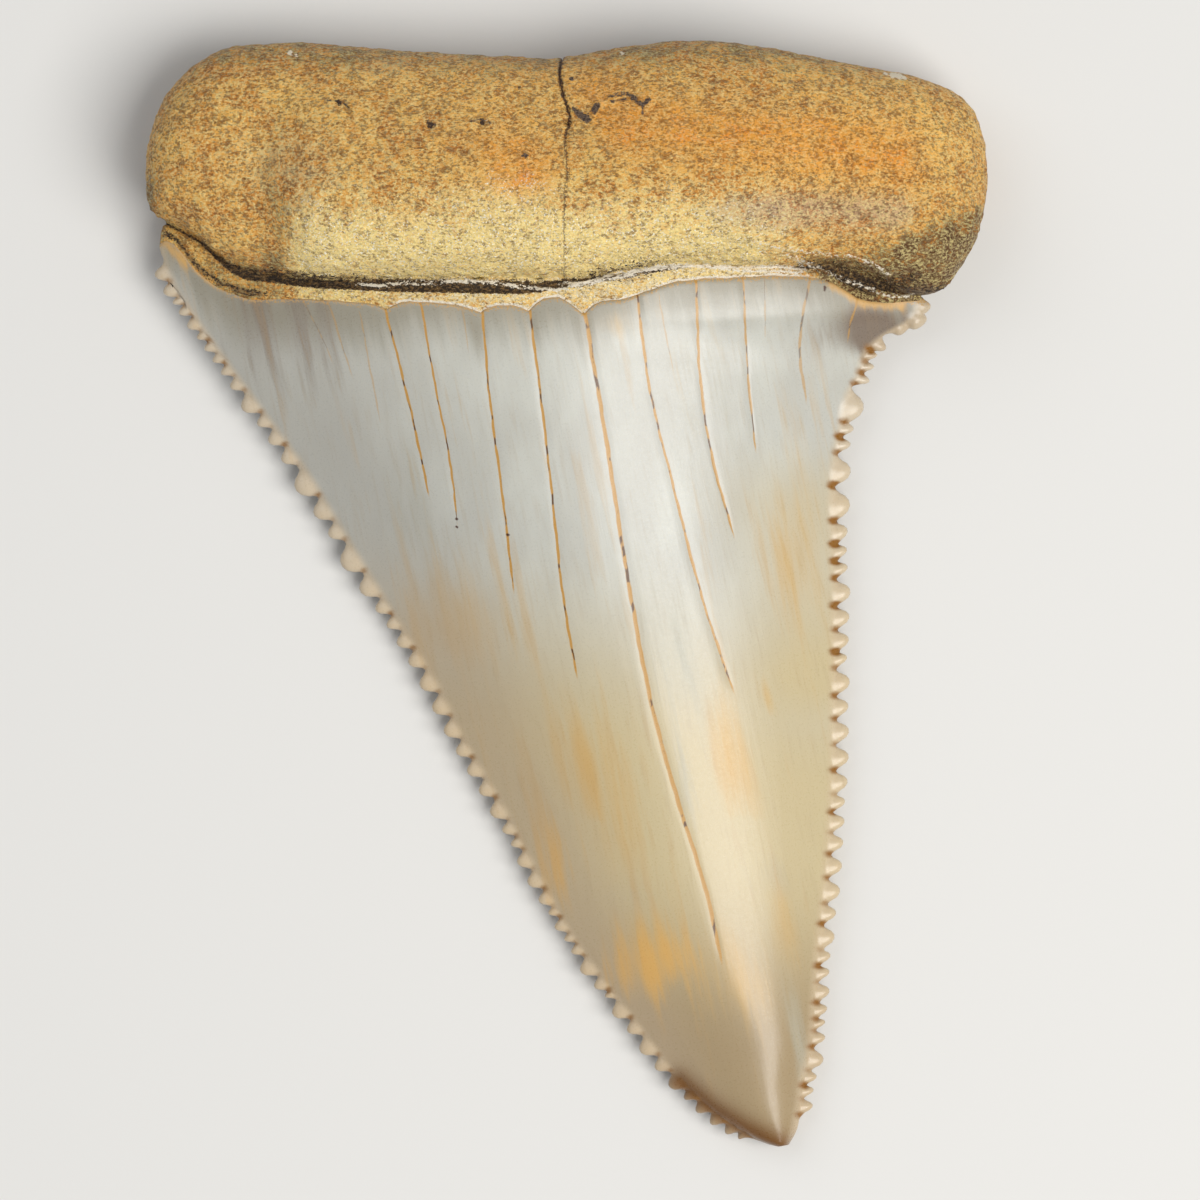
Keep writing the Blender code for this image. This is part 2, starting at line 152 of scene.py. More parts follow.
NECK_RIDGE = (
    (-14.0, 18.4), (-11.0, 18.05), (-9.85, 18.25), (-7.5, 18.2), (-5.7, 18.35), (-4.0, 18.15),
    (-2.8, 17.95), (-0.5, 17.75), (0.85, 18.15), (2.4, 18.3), (3.0, 18.55), (4.25, 18.8),
    (5.45, 19.15), (7.8, 19.2), (10.15, 19.15), (12.5, 19.2), (13.9, 19.1),
)
GROOVE_WIDTH = (
    (-24.0, 0.06), (-20.8, 0.10), (-19.6, 0.45), (-17.0, 0.60), (-12.0, 0.62), (-4.0, 0.62),
    (-0.8, 0.45), (1.0, 0.30), (4.0, 0.20), (6.5, 0.10), (13.0, 0.08), (14.5, 0.25), (20.9, 0.35),
)
ENAMEL_LEVEL = 17.5
ENAMEL_FADE_LENGTH = 14.0
ENAMEL_THICKNESS = 0.12
NECK_ROWS = 9
GROOVE_PROFILE = ((0.06, -0.06), (0.14, -0.16), (0.26, -0.22), (0.42, -0.28), (0.62, -0.36), (0.95, -0.5))
HIDDEN_RISE = 1.7
OUTER_RISE = 4.0

# Crown heights against Y: the inner ridge, the sharp edge and the outer face
RIDGE_HEIGHT = (
    (-32.5, 1.8), (-31.5, 2.2), (-29.0, 2.8), (-24.0, 3.5), (-16.0, 4.6), (-6.0, 6.0),
    (4.0, 7.2), (12.0, 8.2), (18.0, 8.6), (23.0, 8.6),
)
EDGE_HEIGHT = ((-32.5, 1.4), (-20.0, 1.45), (0.0, 1.5), (10.0, 1.8), (17.0, 2.5), (23.0, 3.2))
OUTER_HEIGHT = (
    (-32.5, 1.0), (-30.0, 0.6), (-24.0, 0.25), (-16.0, 0.02), (-8.0, 0.0), (0.0, 0.0),
    (8.0, 0.2), (17.0, 0.45), (23.0, 0.5),
)
RIM_HEIGHT = 0.34
RIM_WIDTH = 0.55
RIM_STEPS = (0.1, 0.3, 0.6, 1.0)
RIM_BAND = 0.42
RIDGE_PLACE = ((-32.5, 0.6), (-28.0, 0.66), (-20.0, 0.56), (0.0, 0.5), (23.0, 0.5))
INNER_POWER = 1.15
OUTER_POWER = 0.8

# Splits in the enamel, from the border down: half width, depth, strength of colour, and Y against X
Split = namedtuple("Split", "half_width depth tone path")
SPLITS = (
    Split(0.050, 0.00, 0.35, ((17.2, -15.40), (15.1, -14.30), (13.5, -13.65))),
    Split(0.050, 0.00, 0.40, ((16.8, -13.80), (12.7, -12.50))),
    Split(0.045, 0.00, 0.40, ((15.9, -11.95), (9.8, -10.85))),
    Split(0.070, 0.02, 1.00, ((16.6, -10.55), (13.9, -9.85), (9.2, -8.75), (5.7, -8.05))),
    Split(0.060, 0.02, 1.00, ((16.8, -8.45), (12.45, -7.70), (7.75, -6.80), (4.1, -6.40))),
    Split(0.045, 0.00, 0.35, ((16.6, -6.05), (13.7, -5.65))),
    Split(0.070, 0.03, 1.00, ((16.5, -4.90), (12.15, -4.55), (5.4, -3.70), (0.1, -3.10))),
    Split(0.075, 0.03, 1.00, ((16.5, -2.15), (11.85, -1.55), (5.7, -0.85), (0.1, -0.25), (-4.9, 0.60))),
    Split(0.120, 0.03, 1.00, ((16.4, 1.05), (9.2, 2.25), (0.95, 3.55), (-7.25, 5.15), (-11.4, 6.30),
                              (-17.55, 8.20), (-21.7, 9.10))),
    Split(0.080, 0.04, 1.00, ((17.5, 4.05), (11.85, 4.85), (6.55, 6.15), (-0.8, 8.10), (-5.8, 9.80))),
    Split(0.045, 0.00, 0.40, ((16.9, 5.40), (13.0, 6.20))),
    Split(0.075, 0.03, 0.95, ((18.2, 7.50), (12.75, 7.75), (8.6, 8.35), (3.3, 9.80))),
    Split(0.060, 0.02, 0.80, ((18.3, 10.25), (13.05, 10.55), (8.3, 11.05))),
    Split(0.045, 0.00, 0.40, ((18.4, 11.50), (15.0, 11.55))),
    Split(0.085, 0.00, 0.60, ((18.5, 14.15), (14.8, 13.60), (11.25, 14.05))),
    Split(0.060, 0.00, 0.70, ((17.2, 16.95), (16.0, 16.60), (14.8, 16.45))),
)
# Share of the blade's width that the line of each split runs to below its end
SHARES_BELOW = (
    0.15, 0.175, 0.195, 0.218, 0.245, 0.272, 0.31, 0.38, 0.577, 0.73, 0.765, 0.80, 0.84, 0.88, 0.925, 0.96,
)
SHARE_BLEND = 10.0
SPLIT_FADE = 1.6
SPLIT_REACH = 0.30

# Serrations: the length of each lobe along its edge, from the root's shoulder to the tip
LEFT_LOBES = (
    1.15, 1.05, 0.60, 0.80, 1.03, 0.75, 0.84, 0.84, 0.91, 1.07, 1.64, 1.10, 1.32, 1.40,
    2.20, 1.72, 1.38, 2.20, 1.80, 1.25, 1.11, 1.32, 1.38, 1.65, 1.58, 1.51, 1.32, 1.38,
    1.38, 1.52, 1.10, 0.89, 1.31, 1.38, 1.17, 0.77, 1.05, 0.77, 0.91, 1.46, 1.09, 0.66,
    1.46, 1.23, 1.54, 1.23, 1.41, 0.91, 1.10, 1.09, 0.98, 0.66,
)
RIGHT_LOBES = (
    1.00, 0.70, 0.70, 0.80, 2.25, 0.90, 0.95, 1.90, 2.05, 1.35, 1.00, 1.00, 1.60, 1.40,
    1.30, 0.95, 1.60, 1.35, 1.50, 1.50, 1.40, 1.05, 1.20, 1.25, 1.40, 1.50, 1.20, 1.50,
    0.95, 0.95, 1.20, 0.95, 0.70, 0.95, 1.40, 0.90, 0.80, 0.95,
)
LEFT_LOBE_RANGE = (19.6, -31.9)
RIGHT_LOBE_RANGE = (15.2, -30.6)
LEFT_REACH = (0.26, 0.24)
RIGHT_REACH = (0.45, 0.16)
SHOULDER_LOBES = ((20.55, 16.35, 0.62), (20.85, 17.10, 0.55), (19.55, 15.95, 0.60))
LOBE_TILT = math.radians(26.0)
LOBE_LEAN = 0.36
LOBE_THICKNESS = (0.30, 0.07)
LOBE_PLACE = 0.55
LOBE_HALF_LENGTH = 0.54
SEAM_REACH = 0.38
SEAM_ROUNDS = 12

# Marks on the root's inner face: paths of X and Y, and single spots of X, Y and radius
LEFT_FOLD = ((-24.0, 22.1), (-23.0, 21.6), (-21.3, 20.7), (-20.8, 20.2), (-20.1, 19.7))
RIGHT_DARK = ((13.6, 19.35), (15.6, 19.2), (17.3, 18.7), (18.7, 18.3), (20.2, 18.5))
RIGHT_LIP = ((10.6, 20.6), (11.8, 20.2), (13.7, 20.0), (16.6, 19.8), (18.0, 19.2), (18.8, 18.7))
RIGHT_FLAKE = ((12.7, 19.8), (15.0, 19.1), (16.0, 18.6), (17.6, 18.15), (18.6, 17.65), (20.2, 17.65))
RIGHT_GASH = ((15.9, 18.7), (16.8, 18.35), (17.8, 17.95))
# line of pale crust with painted glints along the neck, also raised a little
WHITE_LINE = (
    (-0.3, 18.1), (1.0, 18.2), (3.2, 18.8), (6.2, 19.1), (7.8, 19.2), (10.1, 18.95),
    (12.5, 18.95), (13.7, 18.9),
)
DEPOSITS = (
    (0.20, ((0.6, 27.95), (1.2, 27.5))), (0.13, ((0.4, 28.2), (0.7, 27.9))),
    (0.19, ((1.55, 28.05), (1.75, 28.35))), (0.10, ((1.3, 27.9), (1.4, 28.0))),
    (0.09, ((2.45, 28.9), (3.3, 29.15), (4.1, 28.8))), (0.07, ((2.6, 28.6), (3.5, 28.75))),
    (0.11, ((3.7, 28.9), (4.35, 28.35), (4.75, 28.75))), (0.06, ((4.4, 28.4), (4.35, 27.8))),
    (0.12, ((0.25, 30.0), (0.32, 30.05))), (0.06, ((-14.0, 28.65), (-13.2, 28.75), (-12.6, 28.3))),
    (0.06, ((-5.7, 27.4), (-4.9, 27.55), (-4.4, 27.35), (-4.7, 27.2))), (0.09, ((-2.8, 29.5), (-2.7, 29.5))),
    (0.16, ((-2.45, 25.35), (-2.35, 25.4))), (0.05, ((-8.1, 27.5), (-7.6, 27.25), (-7.75, 27.0))),
)
PITS = (
    (0.03, 27.5, 0.16, 0.6), (-13.2, 28.6, 0.28, 0.20), (-12.65, 28.2, 0.16, 0.20),
    (-7.9, 27.25, 0.30, 0.20), (-4.85, 27.4, 0.28, 0.22), (-2.75, 29.5, 0.16, 0.15),
)
FLECKS = (
    (-16.15, 31.7, 0.17), (-15.8, 31.5, 0.10), (19.4, 30.4, 0.22), (19.05, 30.45, 0.22), (18.6, 30.55, 0.14),
    (19.75, 30.3, 0.12), (3.2, 31.6, 0.12), (-4.7, 27.45, 0.12),
)
# Tints of the enamel: X, Y, half width, half length, and the Y where the patch ends sharply
Patch = namedtuple("Patch", "x y half_width half_length end strength")
FLOW_LEAN = 0.21
AMBER_PATCHES = (
    Patch(-0.6, -9.4, 0.45, 3.0, -12.9, 0.55), Patch(0.9, -10.0, 0.55, 2.8, -13.3, 0.65),
    Patch(9.6, -9.6, 1.1, 3.6, -13.3, 0.85), Patch(11.7, -5.9, 0.45, 1.3, -7.4, 0.65),
    Patch(-7.4, -1.9, 2.4, 2.8, -9.0, 0.75), Patch(13.3, 1.9, 1.6, 3.8, -9.0, 0.45),
    Patch(4.6, -20.9, 2.6, 1.6, -24.0, 0.60), Patch(4.2, -22.8, 1.5, 1.6, -26.0, 0.55),
    Patch(-1.0, -15.8, 1.4, 4.0, -22.0, 0.40), Patch(12.4, -18.5, 1.0, 4.0, -26.0, 0.35),
    Patch(2.5, 15.9, 1.3, 0.9, 14.6, 0.50), Patch(14.4, 4.5, 1.8, 8.0, -12.0, 0.25),
    Patch(-4.4, -1.2, 2.4, 3.4, -9.0, 0.35), Patch(1.9, -10.2, 1.6, 5.4, -17.5, 0.35),
    Patch(3.0, -16.5, 2.4, 5.0, -24.0, 0.25), Patch(10.0, -22.6, 1.8, 3.0, -27.0, 0.55),
)
GREY_PATCHES = (
    Patch(3.3, -17.8, 2.0, 2.4, -21.0, 0.40), Patch(11.9, -16.4, 1.5, 1.6, -18.2, 0.40),
    Patch(6.9, -11.5, 0.9, 3.0, -15.0, 0.35), Patch(-9.0, 5.0, 2.5, 4.0, -2.0, 0.45),
    Patch(13.6, -26.0, 0.9, 4.5, -31.0, 0.45), Patch(8.4, 11.0, 2.2, 4.0, 3.0, 0.35),
    Patch(6.3, -3.6, 2.2, 6.0, -14.0, 0.70),
)
TIP_STAIN = ((6.6, -28.6), (8.4, -30.1), (10.3, -31.3), (12.6, -32.4))
DOTS = (
    (15.1, 18.0, 0.17), (-6.45, 4.55, 0.09), (-6.45, 4.05, 0.08), (-3.45, 3.6, 0.10), (-2.95, 16.1, 0.07),
)
OCHRE_RIGHT = ((15.4, 18.25), (16.3, 17.8), (17.4, 17.3), (19.4, 17.15))
OCHRE_LEFT = ((-23.7, 20.8), (-22.2, 19.4), (-20.0, 17.9))

# Round rust stains of the root, and a round spot of its cream band, which is partly painted highlight: X, Y,
# radius and strength
RUST_SPOTS = (
    (-2.4, 24.6, 2.2, 0.75), (1.0, 29.8, 2.0, 0.5), (-5.0, 26.0, 3.2, 0.42), (-9.5, 22.0, 1.2, 0.35),
)
CREAM_SPOTS = ((-3.2, 23.0, 2.5, 0.35),)

# Relief of the root: wavelength, height and octaves of its lumps and grain
ROOT_WAVES = ((5.0, 0.10, 2), (1.6, 0.06, 2), (0.55, 0.075, 2))
# Folds of the root with their half width and height, and how much painted shade some of them hold in their
# hollows; the lips of two take pale crust with painted highlight
FOLDS = (
    (LEFT_FOLD, 0.12, -0.20), (RIGHT_DARK, 0.32, -0.22), (RIGHT_LIP, 0.14, 0.10),
    (RIGHT_FLAKE, 0.12, 0.14), (RIGHT_GASH, 0.20, -0.40),
)
FOLD_SHADE = ((LEFT_FOLD, 0.10, 0.85), (RIGHT_DARK, 0.45, 0.62), (RIGHT_GASH, 0.26, 1.4))
PALE_AND_LIT_LIPS = ((RIGHT_LIP, 0.48), (RIGHT_FLAKE, 0.58))

# Levels between which nearly all of a noise lies
NOISE_LOW = 0.3
NOISE_HIGH = 0.7

# Colours in everyday steps from 0 to 255: the root
ROOT_OCHRE = (208, 132, 42)
ROOT_SAND = (252, 196, 96)
# cream of the root's lower band, paler there also as painted highlight where the light falls on it
CREAM_AND_HIGHLIGHT = (255, 226, 146)
ROOT_GREY = (188, 162, 140)
ROOT_RUST = (244, 158, 30)
ROOT_ORANGE = (244, 120, 8)
# umber: brown stain with painted shade of the root's top rim, ends and lower right bulge
UMBER_AND_SHADE = (84, 50, 8)
GRAIN_PALE = (255, 234, 158)
GRAIN_DARK = (92, 46, 8)
RUST_VEIL = (250, 164, 44)
NECK_CRUST = (236, 218, 180)
# painted glints: near-white specks in the root's cream band
PAINTED_GLINT = (255, 250, 232)
# painted shadow deep in the groove under the root's lip and in the folds, over their dark filling
GROOVE_SHADOW_AND_FILL = (40, 26, 9)
GROOVE_BROWN = (124, 94, 52)
DEPOSIT_DARK = (60, 42, 30)
DEPOSIT_PALE = (118, 96, 76)
PIT_BROWN = (60, 38, 20)
CRACK_BROWN = (84, 54, 32)
# pale crust with painted glints on the neck's ridges, the enamel's rim and the right fold's lips
CRUST_AND_GLINT_WHITE = (244, 234, 214)
FLECK_WHITE = (246, 232, 206)

# Colours of the enamel, and of the floor
ENAMEL_DULL = (181, 180, 171)
ENAMEL_CLEAR = (190, 190, 181)
ENAMEL_CREAM = (190, 175, 138)
TIP_TAN = (152, 131, 100)
ENAMEL_GREY = (168, 166, 150)
AMBER = (196, 162, 102)
FLANK_GREY = (170, 167, 158)
FLANK_TAN = (176, 157, 130)
# greyer enamel under the root's border, darkened further as painted shade and reflection of the root above
# it
BORDER_SHADE_GREY = (142, 136, 120)
# grey-brown smoke tint with painted shade, on the upper left flank and under the root's overhanging right
# end
SMOKE_SHADE = (116, 100, 86)
RIM_CREAM = (200, 180, 150)
THREAD_BROWN = (158, 138, 106)
OCHRE = (206, 162, 92)
LIP_OCHRE = (188, 152, 100)
TIP_BROWN = (112, 76, 36)
NOTCH_BROWN = (134, 90, 30)
SPLIT_OCHRE = (182, 138, 70)
SPLIT_BROWN = (92, 58, 22)
DOT_BROWN = (70, 38, 20)
FLOOR_PALE = (214, 213, 210)


def smooth_curve(points, at):
    """Values of the smooth curve through (place, value) pairs, at the given places."""
    table = np.array(sorted(points))
    place, value = table[:, 0], table[:, 1]
    slope = np.gradient(value, place)
    at = np.clip(np.asarray(at, dtype=float), place[0], place[-1])
    i = np.clip(np.searchsorted(place, at) - 1, 0, len(place) - 2)
    step = place[i + 1] - place[i]
    t = (at - place[i]) / step
    return (
        (1 + 2 * t) * (1 - t) ** 2 * value[i]
        + t * (1 - t) ** 2 * step * slope[i]
        + t ** 2 * (3 - 2 * t) * value[i + 1]
        + t ** 2 * (t - 1) * step * slope[i + 1]
    )


def smooth_step(low, high, x):
    """0 below low, 1 above high, and a soft rise between them."""
    t = np.clip((x - low) / (high - low), 0.0, 1.0)
    return t * t * (3 - 2 * t)


def bump(distance, half_width):
    """1 at no distance, fading softly to nothing at about twice the half width."""
    return np.exp(-((distance / half_width) ** 2))


def band(value, start, full, fade, end):
    """1 between full and fade, and nothing outside start and end."""
    return smooth_step(start, full, value) * (1 - smooth_step(fade, end, value))


def rough(points, wavelength, octaves, seed):
    """Fractal noise at points in millimetres, about -1 to 1."""
    offset = Vector((seed * 17.3, seed * 5.1, seed * 9.7))
    return np.array([
        noise.fractal(Vector(point) / wavelength + offset, 1.0, 2.0, octaves) for point in points
    ])


def path_distance(xy, path):
    """Distance of each point from a path of straight runs, seen from above."""
    nearest = np.full(len(xy), np.inf)
    for start, end in zip(path, path[1:]):
        start, run = np.array(start), np.subtract(end, start)
        share = np.clip(((xy - start) @ run) / (run @ run), 0.0, 1.0)
        nearest = np.minimum(nearest, np.linalg.norm(xy - start - share[:, None] * run, axis=1))
    return nearest


def spot_distance(xy, x, y):
    """Distance of each point from one place, seen from above."""
    return np.hypot(xy[:, 0] - x, xy[:, 1] - y)


def closed_mesh(name, rings, first, last, slots):
    """An object skinned over rings of equal length, with a point at each end; one slot a row."""
    count, sides = rings.shape[:2]
    vertices = np.vstack((rings.reshape(-1, 3), [first, last])) * MM
    corner = np.arange(count * sides).reshape(count, sides)
    following = np.roll(corner, -1, axis=1)
    quads = np.stack((corner[:-1], corner[1:], following[1:], following[:-1]), -1).reshape(-1, 4)
    start, end = count * sides, count * sides + 1
    caps = [(start, corner[0, j], following[0, j]) for j in range(sides)]
    caps += [(end, following[-1, j], corner[-1, j]) for j in range(sides)]
    face_slots = list(np.repeat(slots[:-1], sides)) + [slots[0]] * sides + [slots[-1]] * sides
    return mesh_object(name, vertices, quads.tolist() + caps, face_slots)


def mesh_object(name, vertices, faces, face_slots):
    """An object in metres with outward faces, each in its own material slot."""
    mesh = bpy.data.meshes.new(name)
    mesh.from_pydata(vertices.tolist(), [], faces)
    for material in SLOT_MATERIALS:
        mesh.materials.append(bpy.data.materials[material])
    mesh.polygons.foreach_set("material_index", np.array(face_slots, dtype=np.int32))
    bm = bmesh.new()
    bm.from_mesh(mesh)
    bmesh.ops.recalc_face_normals(bm, faces=bm.faces)
    bm.to_mesh(mesh)
    bm.free()
    made = bpy.data.objects.new(name, mesh)
    bpy.context.scene.collection.objects.link(made)
    return made


def root_stations():
    """Station numbers at even steps along the root, closer together at the crack."""
    fine = np.linspace(0, len(ROOT_TOP) - 1, 4000)
    outlines = [np.stack([smooth_curve(tuple(enumerate(p[i] for p in side)), fine) for i in (0, 1)], 1)
                for side in (ROOT_TOP, ROOT_BOTTOM)]
    steps = sum(np.linalg.norm(np.diff(outline, axis=0), axis=1) for outline in outlines)
    run = np.concatenate(([0.0], np.cumsum(steps)))
    even = np.interp(np.linspace(0, run[-1], ROOT_STATIONS + 2)[1:-1], run, fine)
    even = even[np.abs(even - CRACK_STATION) > 1.4 * CRACK_STEPS[-1]]
    return np.sort(np.concatenate((even, CRACK_STATION + np.array(CRACK_STEPS))))


def root_surface(stations, angles):
    """Points of the root's skin: rounded box sections, higher towards the crown."""
    def at_stations(values):
        return smooth_curve(tuple(enumerate(values)), stations)[:, None]

    top = [at_stations([p[i] for p in ROOT_TOP]) for i in (0, 1)]
    bottom = [at_stations([p[i] for p in ROOT_BOTTOM]) for i in (0, 1)]
    inner, outer = at_stations(ROOT_INNER), at_stations(ROOT_OUTER)
    middle = outer + 0.42 * (inner - outer)
    across, up = np.cos(angles)[None, :], np.sin(angles)[None, :]
    power = np.where(across > 0, 2 / 2.4, 2 / 3.0)
    across = np.sign(across) * np.abs(across) ** power
    up = np.sign(up) * np.abs(up) ** power
    x, y = [(top[i] + bottom[i]) / 2 + (top[i] - bottom[i]) / 2 * across for i in (0, 1)]
    bulge = BULGE_HEIGHT * smooth_step(BULGE_LEFT - BULGE_LEFT_FADE, BULGE_LEFT + BULGE_LEFT_FADE, x)
    bulge = bulge * (1 - smooth_step(BULGE_RIGHT - BULGE_RIGHT_FADE, BULGE_RIGHT + BULGE_RIGHT_FADE, x))
    bulge = bulge * smooth_step(0.75, -0.35, across)
    height = (inner - middle) * (1 - 0.06 * across) + bulge
    z = middle + np.where(up > 0, up * height, up * (middle - outer))
    from_crack = (stations - CRACK_STATION)[:, None]
    x = x + np.exp(-((from_crack / 0.3) ** 2)) * smooth_curve(CRACK_WANDER, y)
    open_side = np.maximum(np.maximum(across, 0), np.maximum(up, 0))
    depth = smooth_curve(CRACK_DEPTH, y) * bump(from_crack, 0.025) * open_side
    lift = 0.10 * (from_crack > 0) * bump(from_crack, 0.35) * smooth_step(24.0, 29.0, y)
    y = y + (lift - depth) * np.maximum(across, 0)
    z = z + (lift - depth) * np.maximum(up, 0)
    return np.stack((x, y, z), -1)


def root_angles():
    """Angles round the root's section that give even steps, closer on the inner side."""
    fine = np.linspace(0, 2 * math.pi, 2000)
    section = root_surface(np.array([CRACK_STATION - 3.0]), fine)[0]
    run = np.concatenate(([0.0], np.cumsum(np.linalg.norm(np.diff(section, axis=0), axis=1))))
    half = np.interp(math.pi, fine, run)
    inner = np.interp(np.linspace(0, half, ROOT_INNER_SIDES, endpoint=False), run, fine)
    outer = np.interp(np.linspace(half, run[-1], ROOT_OUTER_SIDES, endpoint=False), run, fine)
    return np.concatenate((inner, outer))


def root_body():
    """The root as a fine skin of sections from its left end to its right end."""
    rings = root_surface(root_stations(), root_angles())
    left = (*ROOT_TOP[0], ROOT_INNER[0])
    right = (*ROOT_TOP[-1], ROOT_INNER[-1])
    return closed_mesh("root_form", rings, left, right, [ROOT_SLOT] * len(rings))


def edges_at(y):
    """X of the blade's left and right edge at heights along Y."""
    return smooth_curve(LEFT_EDGE, y), smooth_curve(RIGHT_EDGE, y)


def crown_surface(x, y, inner_side, lift):
    """Points of the crown's skin over places between its edges."""
    left, right = edges_at(y)
    share = np.clip((x - left) / (right - left), 0.0, 1.0)
    ridge = smooth_curve(RIDGE_PLACE, y)
    span = np.where(share < ridge, ridge, 1 - ridge)
    off_ridge = np.minimum(1.0, np.abs(share - ridge) / span)
    edge = smooth_curve(EDGE_HEIGHT, y)
    crest = smooth_curve(RIDGE_HEIGHT if inner_side else OUTER_HEIGHT, y)
    swell = (1 - off_ridge ** 2) ** (INNER_POWER if inner_side else OUTER_POWER)
    lift = lift * np.minimum(1.0, 3 * (1 - off_ridge))
    from_rim = np.clip(1 - np.minimum(x - left, right - x) / RIM_WIDTH, 0.0, 1.0)
    rim = RIM_HEIGHT * np.sqrt(1 - from_rim ** 2) * smooth_step(0.0, 1.2, right - left)
    z = edge + (crest - edge) * swell + (lift + rim if inner_side else -0.5 * (lift + rim))
    return np.stack((x, y, z), -1)


def enamel_line(x):
    """Y of the enamel's upper border, which is finely rippled."""
    return smooth_curve(ENAMEL_TOP, x) + BORDER_RIPPLE * np.sin(5.3 * x) * np.sin(2.1 * x + 1.0)


def split_place(index, y):
    """X of a split at heights along Y; past its ends it runs on as a share of the blade's width."""
    path = SPLITS[index].path
    held = np.clip(y, path[-1][0], path[0][0])
    left, right = edges_at(held)
    share = (smooth_curve(path, held) - left) / (right - left)
    share = share + (SHARES_BELOW[index] - share) * smooth_step(0.0, SHARE_BLEND, held - y)
    left, right = edges_at(y)
    return left + share * (right - left)


def split_strength(split, y):
    """1 along a split and fading to 0 at its lower end."""
    low, high = split.path[-1][0], split.path[0][0]
    return smooth_step(low - 0.2, low + SPLIT_FADE, y) * (1 - smooth_step(high + 0.3, high + 0.9, y))


def split_wander(index, y):
    """Small sideways wander of a split."""
    return 0.014 * np.sin(1.9 * y + 2.1 * index) + 0.010 * np.sin(5.3 * y + 4.7 * index)


def column_plan():
    """For every inner column: the mark on its left, its share to the next, and its side of a mark."""
    top = np.array([ENAMEL_LEVEL])
    marks = np.concatenate([marks_at(top)[i] for i in range(len(SPLITS) + 2)])
    last = len(SPLITS)
    plan = [(0, 0.0, step - 1) for step in (0.0, *RIM_STEPS)]
    for index, gap in enumerate(np.diff(marks)):
        count = max(2, round(gap / CROWN_COLUMN_STEP))
        plan += [(index, step / count, None) for step in range(1, count)]
        if index < last:
            plan += [(index, 1.0, side) for side in (-1, 0, 1)]
    return plan + [(last, 1.0, 1 - step) for step in (*reversed(RIM_STEPS), 0.0)]


def marks_at(y):
    """X of the left edge, of every split and of the right edge, at heights along Y."""
    left, right = edges_at(y)
    return np.stack([left, *(split_place(index, y) for index in range(len(SPLITS))), right])


def crown_columns(plan, y):
    """X of every inner column, each at its own height along Y, and the depth of its groove."""
    marks = marks_at(y)
    x, groove = np.empty(len(plan)), np.zeros(len(plan))
    last = len(SPLITS)
    crowd = Counter(index for index, _, _ in plan)
    for column, (index, share, side) in enumerate(plan):
        near, far = marks[index, column], marks[index + 1, column]
        rim = min(RIM_BAND, 0.3 * (far - near))
        if index == 0:
            near += rim
        if index == last:
            far -= rim
        x[column] = near + (far - near) * share
        if side is None:
            continue
        if index == last or (index == 0 and share == 0.0):
            x[column] += side * rim
            continue
        split = SPLITS[index]
        strength = float(split_strength(split, y[column]))
        after = marks[index + 2, column] - far
        room = 0.6 * min((far - near) / crowd[index], after / crowd[index + 1])
        x[column] += split_wander(index, y[column]) * strength + side * min(1.6 * split.half_width, room)
        groove[column] = split.depth * strength if side == 0 else 0.0
    return x, groove


def crown_levels():
    """Heights of the enamel's rows at its middle, from its border to the tip."""
    step = CROWN_ROW_STEP
    border = [0.0, 0.03, 0.09, 0.2, 0.36]
    below = np.linspace(0.36 + step, ENAMEL_LEVEL - TIP_LEVEL, round((ENAMEL_LEVEL - TIP_LEVEL) / step))
    return ENAMEL_LEVEL - np.concatenate((border, below))


def crown_row(plan, offset_at, level, lift, outer_rise):
    """A closed ring round the crown; offset_at gives the rise above the level from X."""
    y = np.full(len(plan), level)
    for _ in range(4):
        x, groove = crown_columns(plan, y)
        y = level + offset_at(x)
    inner = crown_surface(x, y, True, lift)
    inner[:, 2] -= groove
    share = np.linspace(1, 0, CROWN_OUTER_COLUMNS)[1:-1]
    y = np.full(len(share), level)
    for _ in range(4):
        left, right = edges_at(y)
        x = left + (right - left) * share
        y = level + offset_at(x) + outer_rise * np.sin(math.pi * share)
    outer = crown_surface(x, y, False, lift)
    return np.vstack((inner, outer))


def crown_body():
    """The crown and its neck, from inside the root down to the tip."""
    plan, rings, slots = column_plan(), [], []

    def add(slot, *row):
        rings.append(crown_row(plan, *row))
        slots.append(slot)

    def groove(x):
        return smooth_curve(GROOVE_LINE, x) - ENAMEL_LEVEL

    def border(x):
        return enamel_line(x) - ENAMEL_LEVEL

    add(NECK_SLOT, lambda x: groove(x) + HIDDEN_RISE, ENAMEL_LEVEL, -0.6, OUTER_RISE)
    for rise, lift in reversed(GROOVE_PROFILE):
        add(NECK_SLOT, lambda x: groove(x) + rise, ENAMEL_LEVEL, lift, OUTER_RISE)
    for share in np.linspace(1, 0, NECK_ROWS):
        crown = 0.05 * math.sin(math.pi * share)
        add(
            NECK_SLOT, lambda x: share * groove(x) + (1 - share) * border(x),
            ENAMEL_LEVEL, crown, OUTER_RISE,
        )
    for level in crown_levels():
        fade = float(smooth_step(ENAMEL_LEVEL - ENAMEL_FADE_LENGTH, ENAMEL_LEVEL, level))
        lift = ENAMEL_THICKNESS * float(smooth_step(ENAMEL_LEVEL + 0.02, ENAMEL_LEVEL - 0.12, level))
        add(ENAMEL_SLOT, lambda x: fade * border(x), level - 0.01, lift, OUTER_RISE * fade)
    rings = np.array(rings)
    return closed_mesh("crown_form", rings, rings[0].mean(axis=0), TIP, slots)


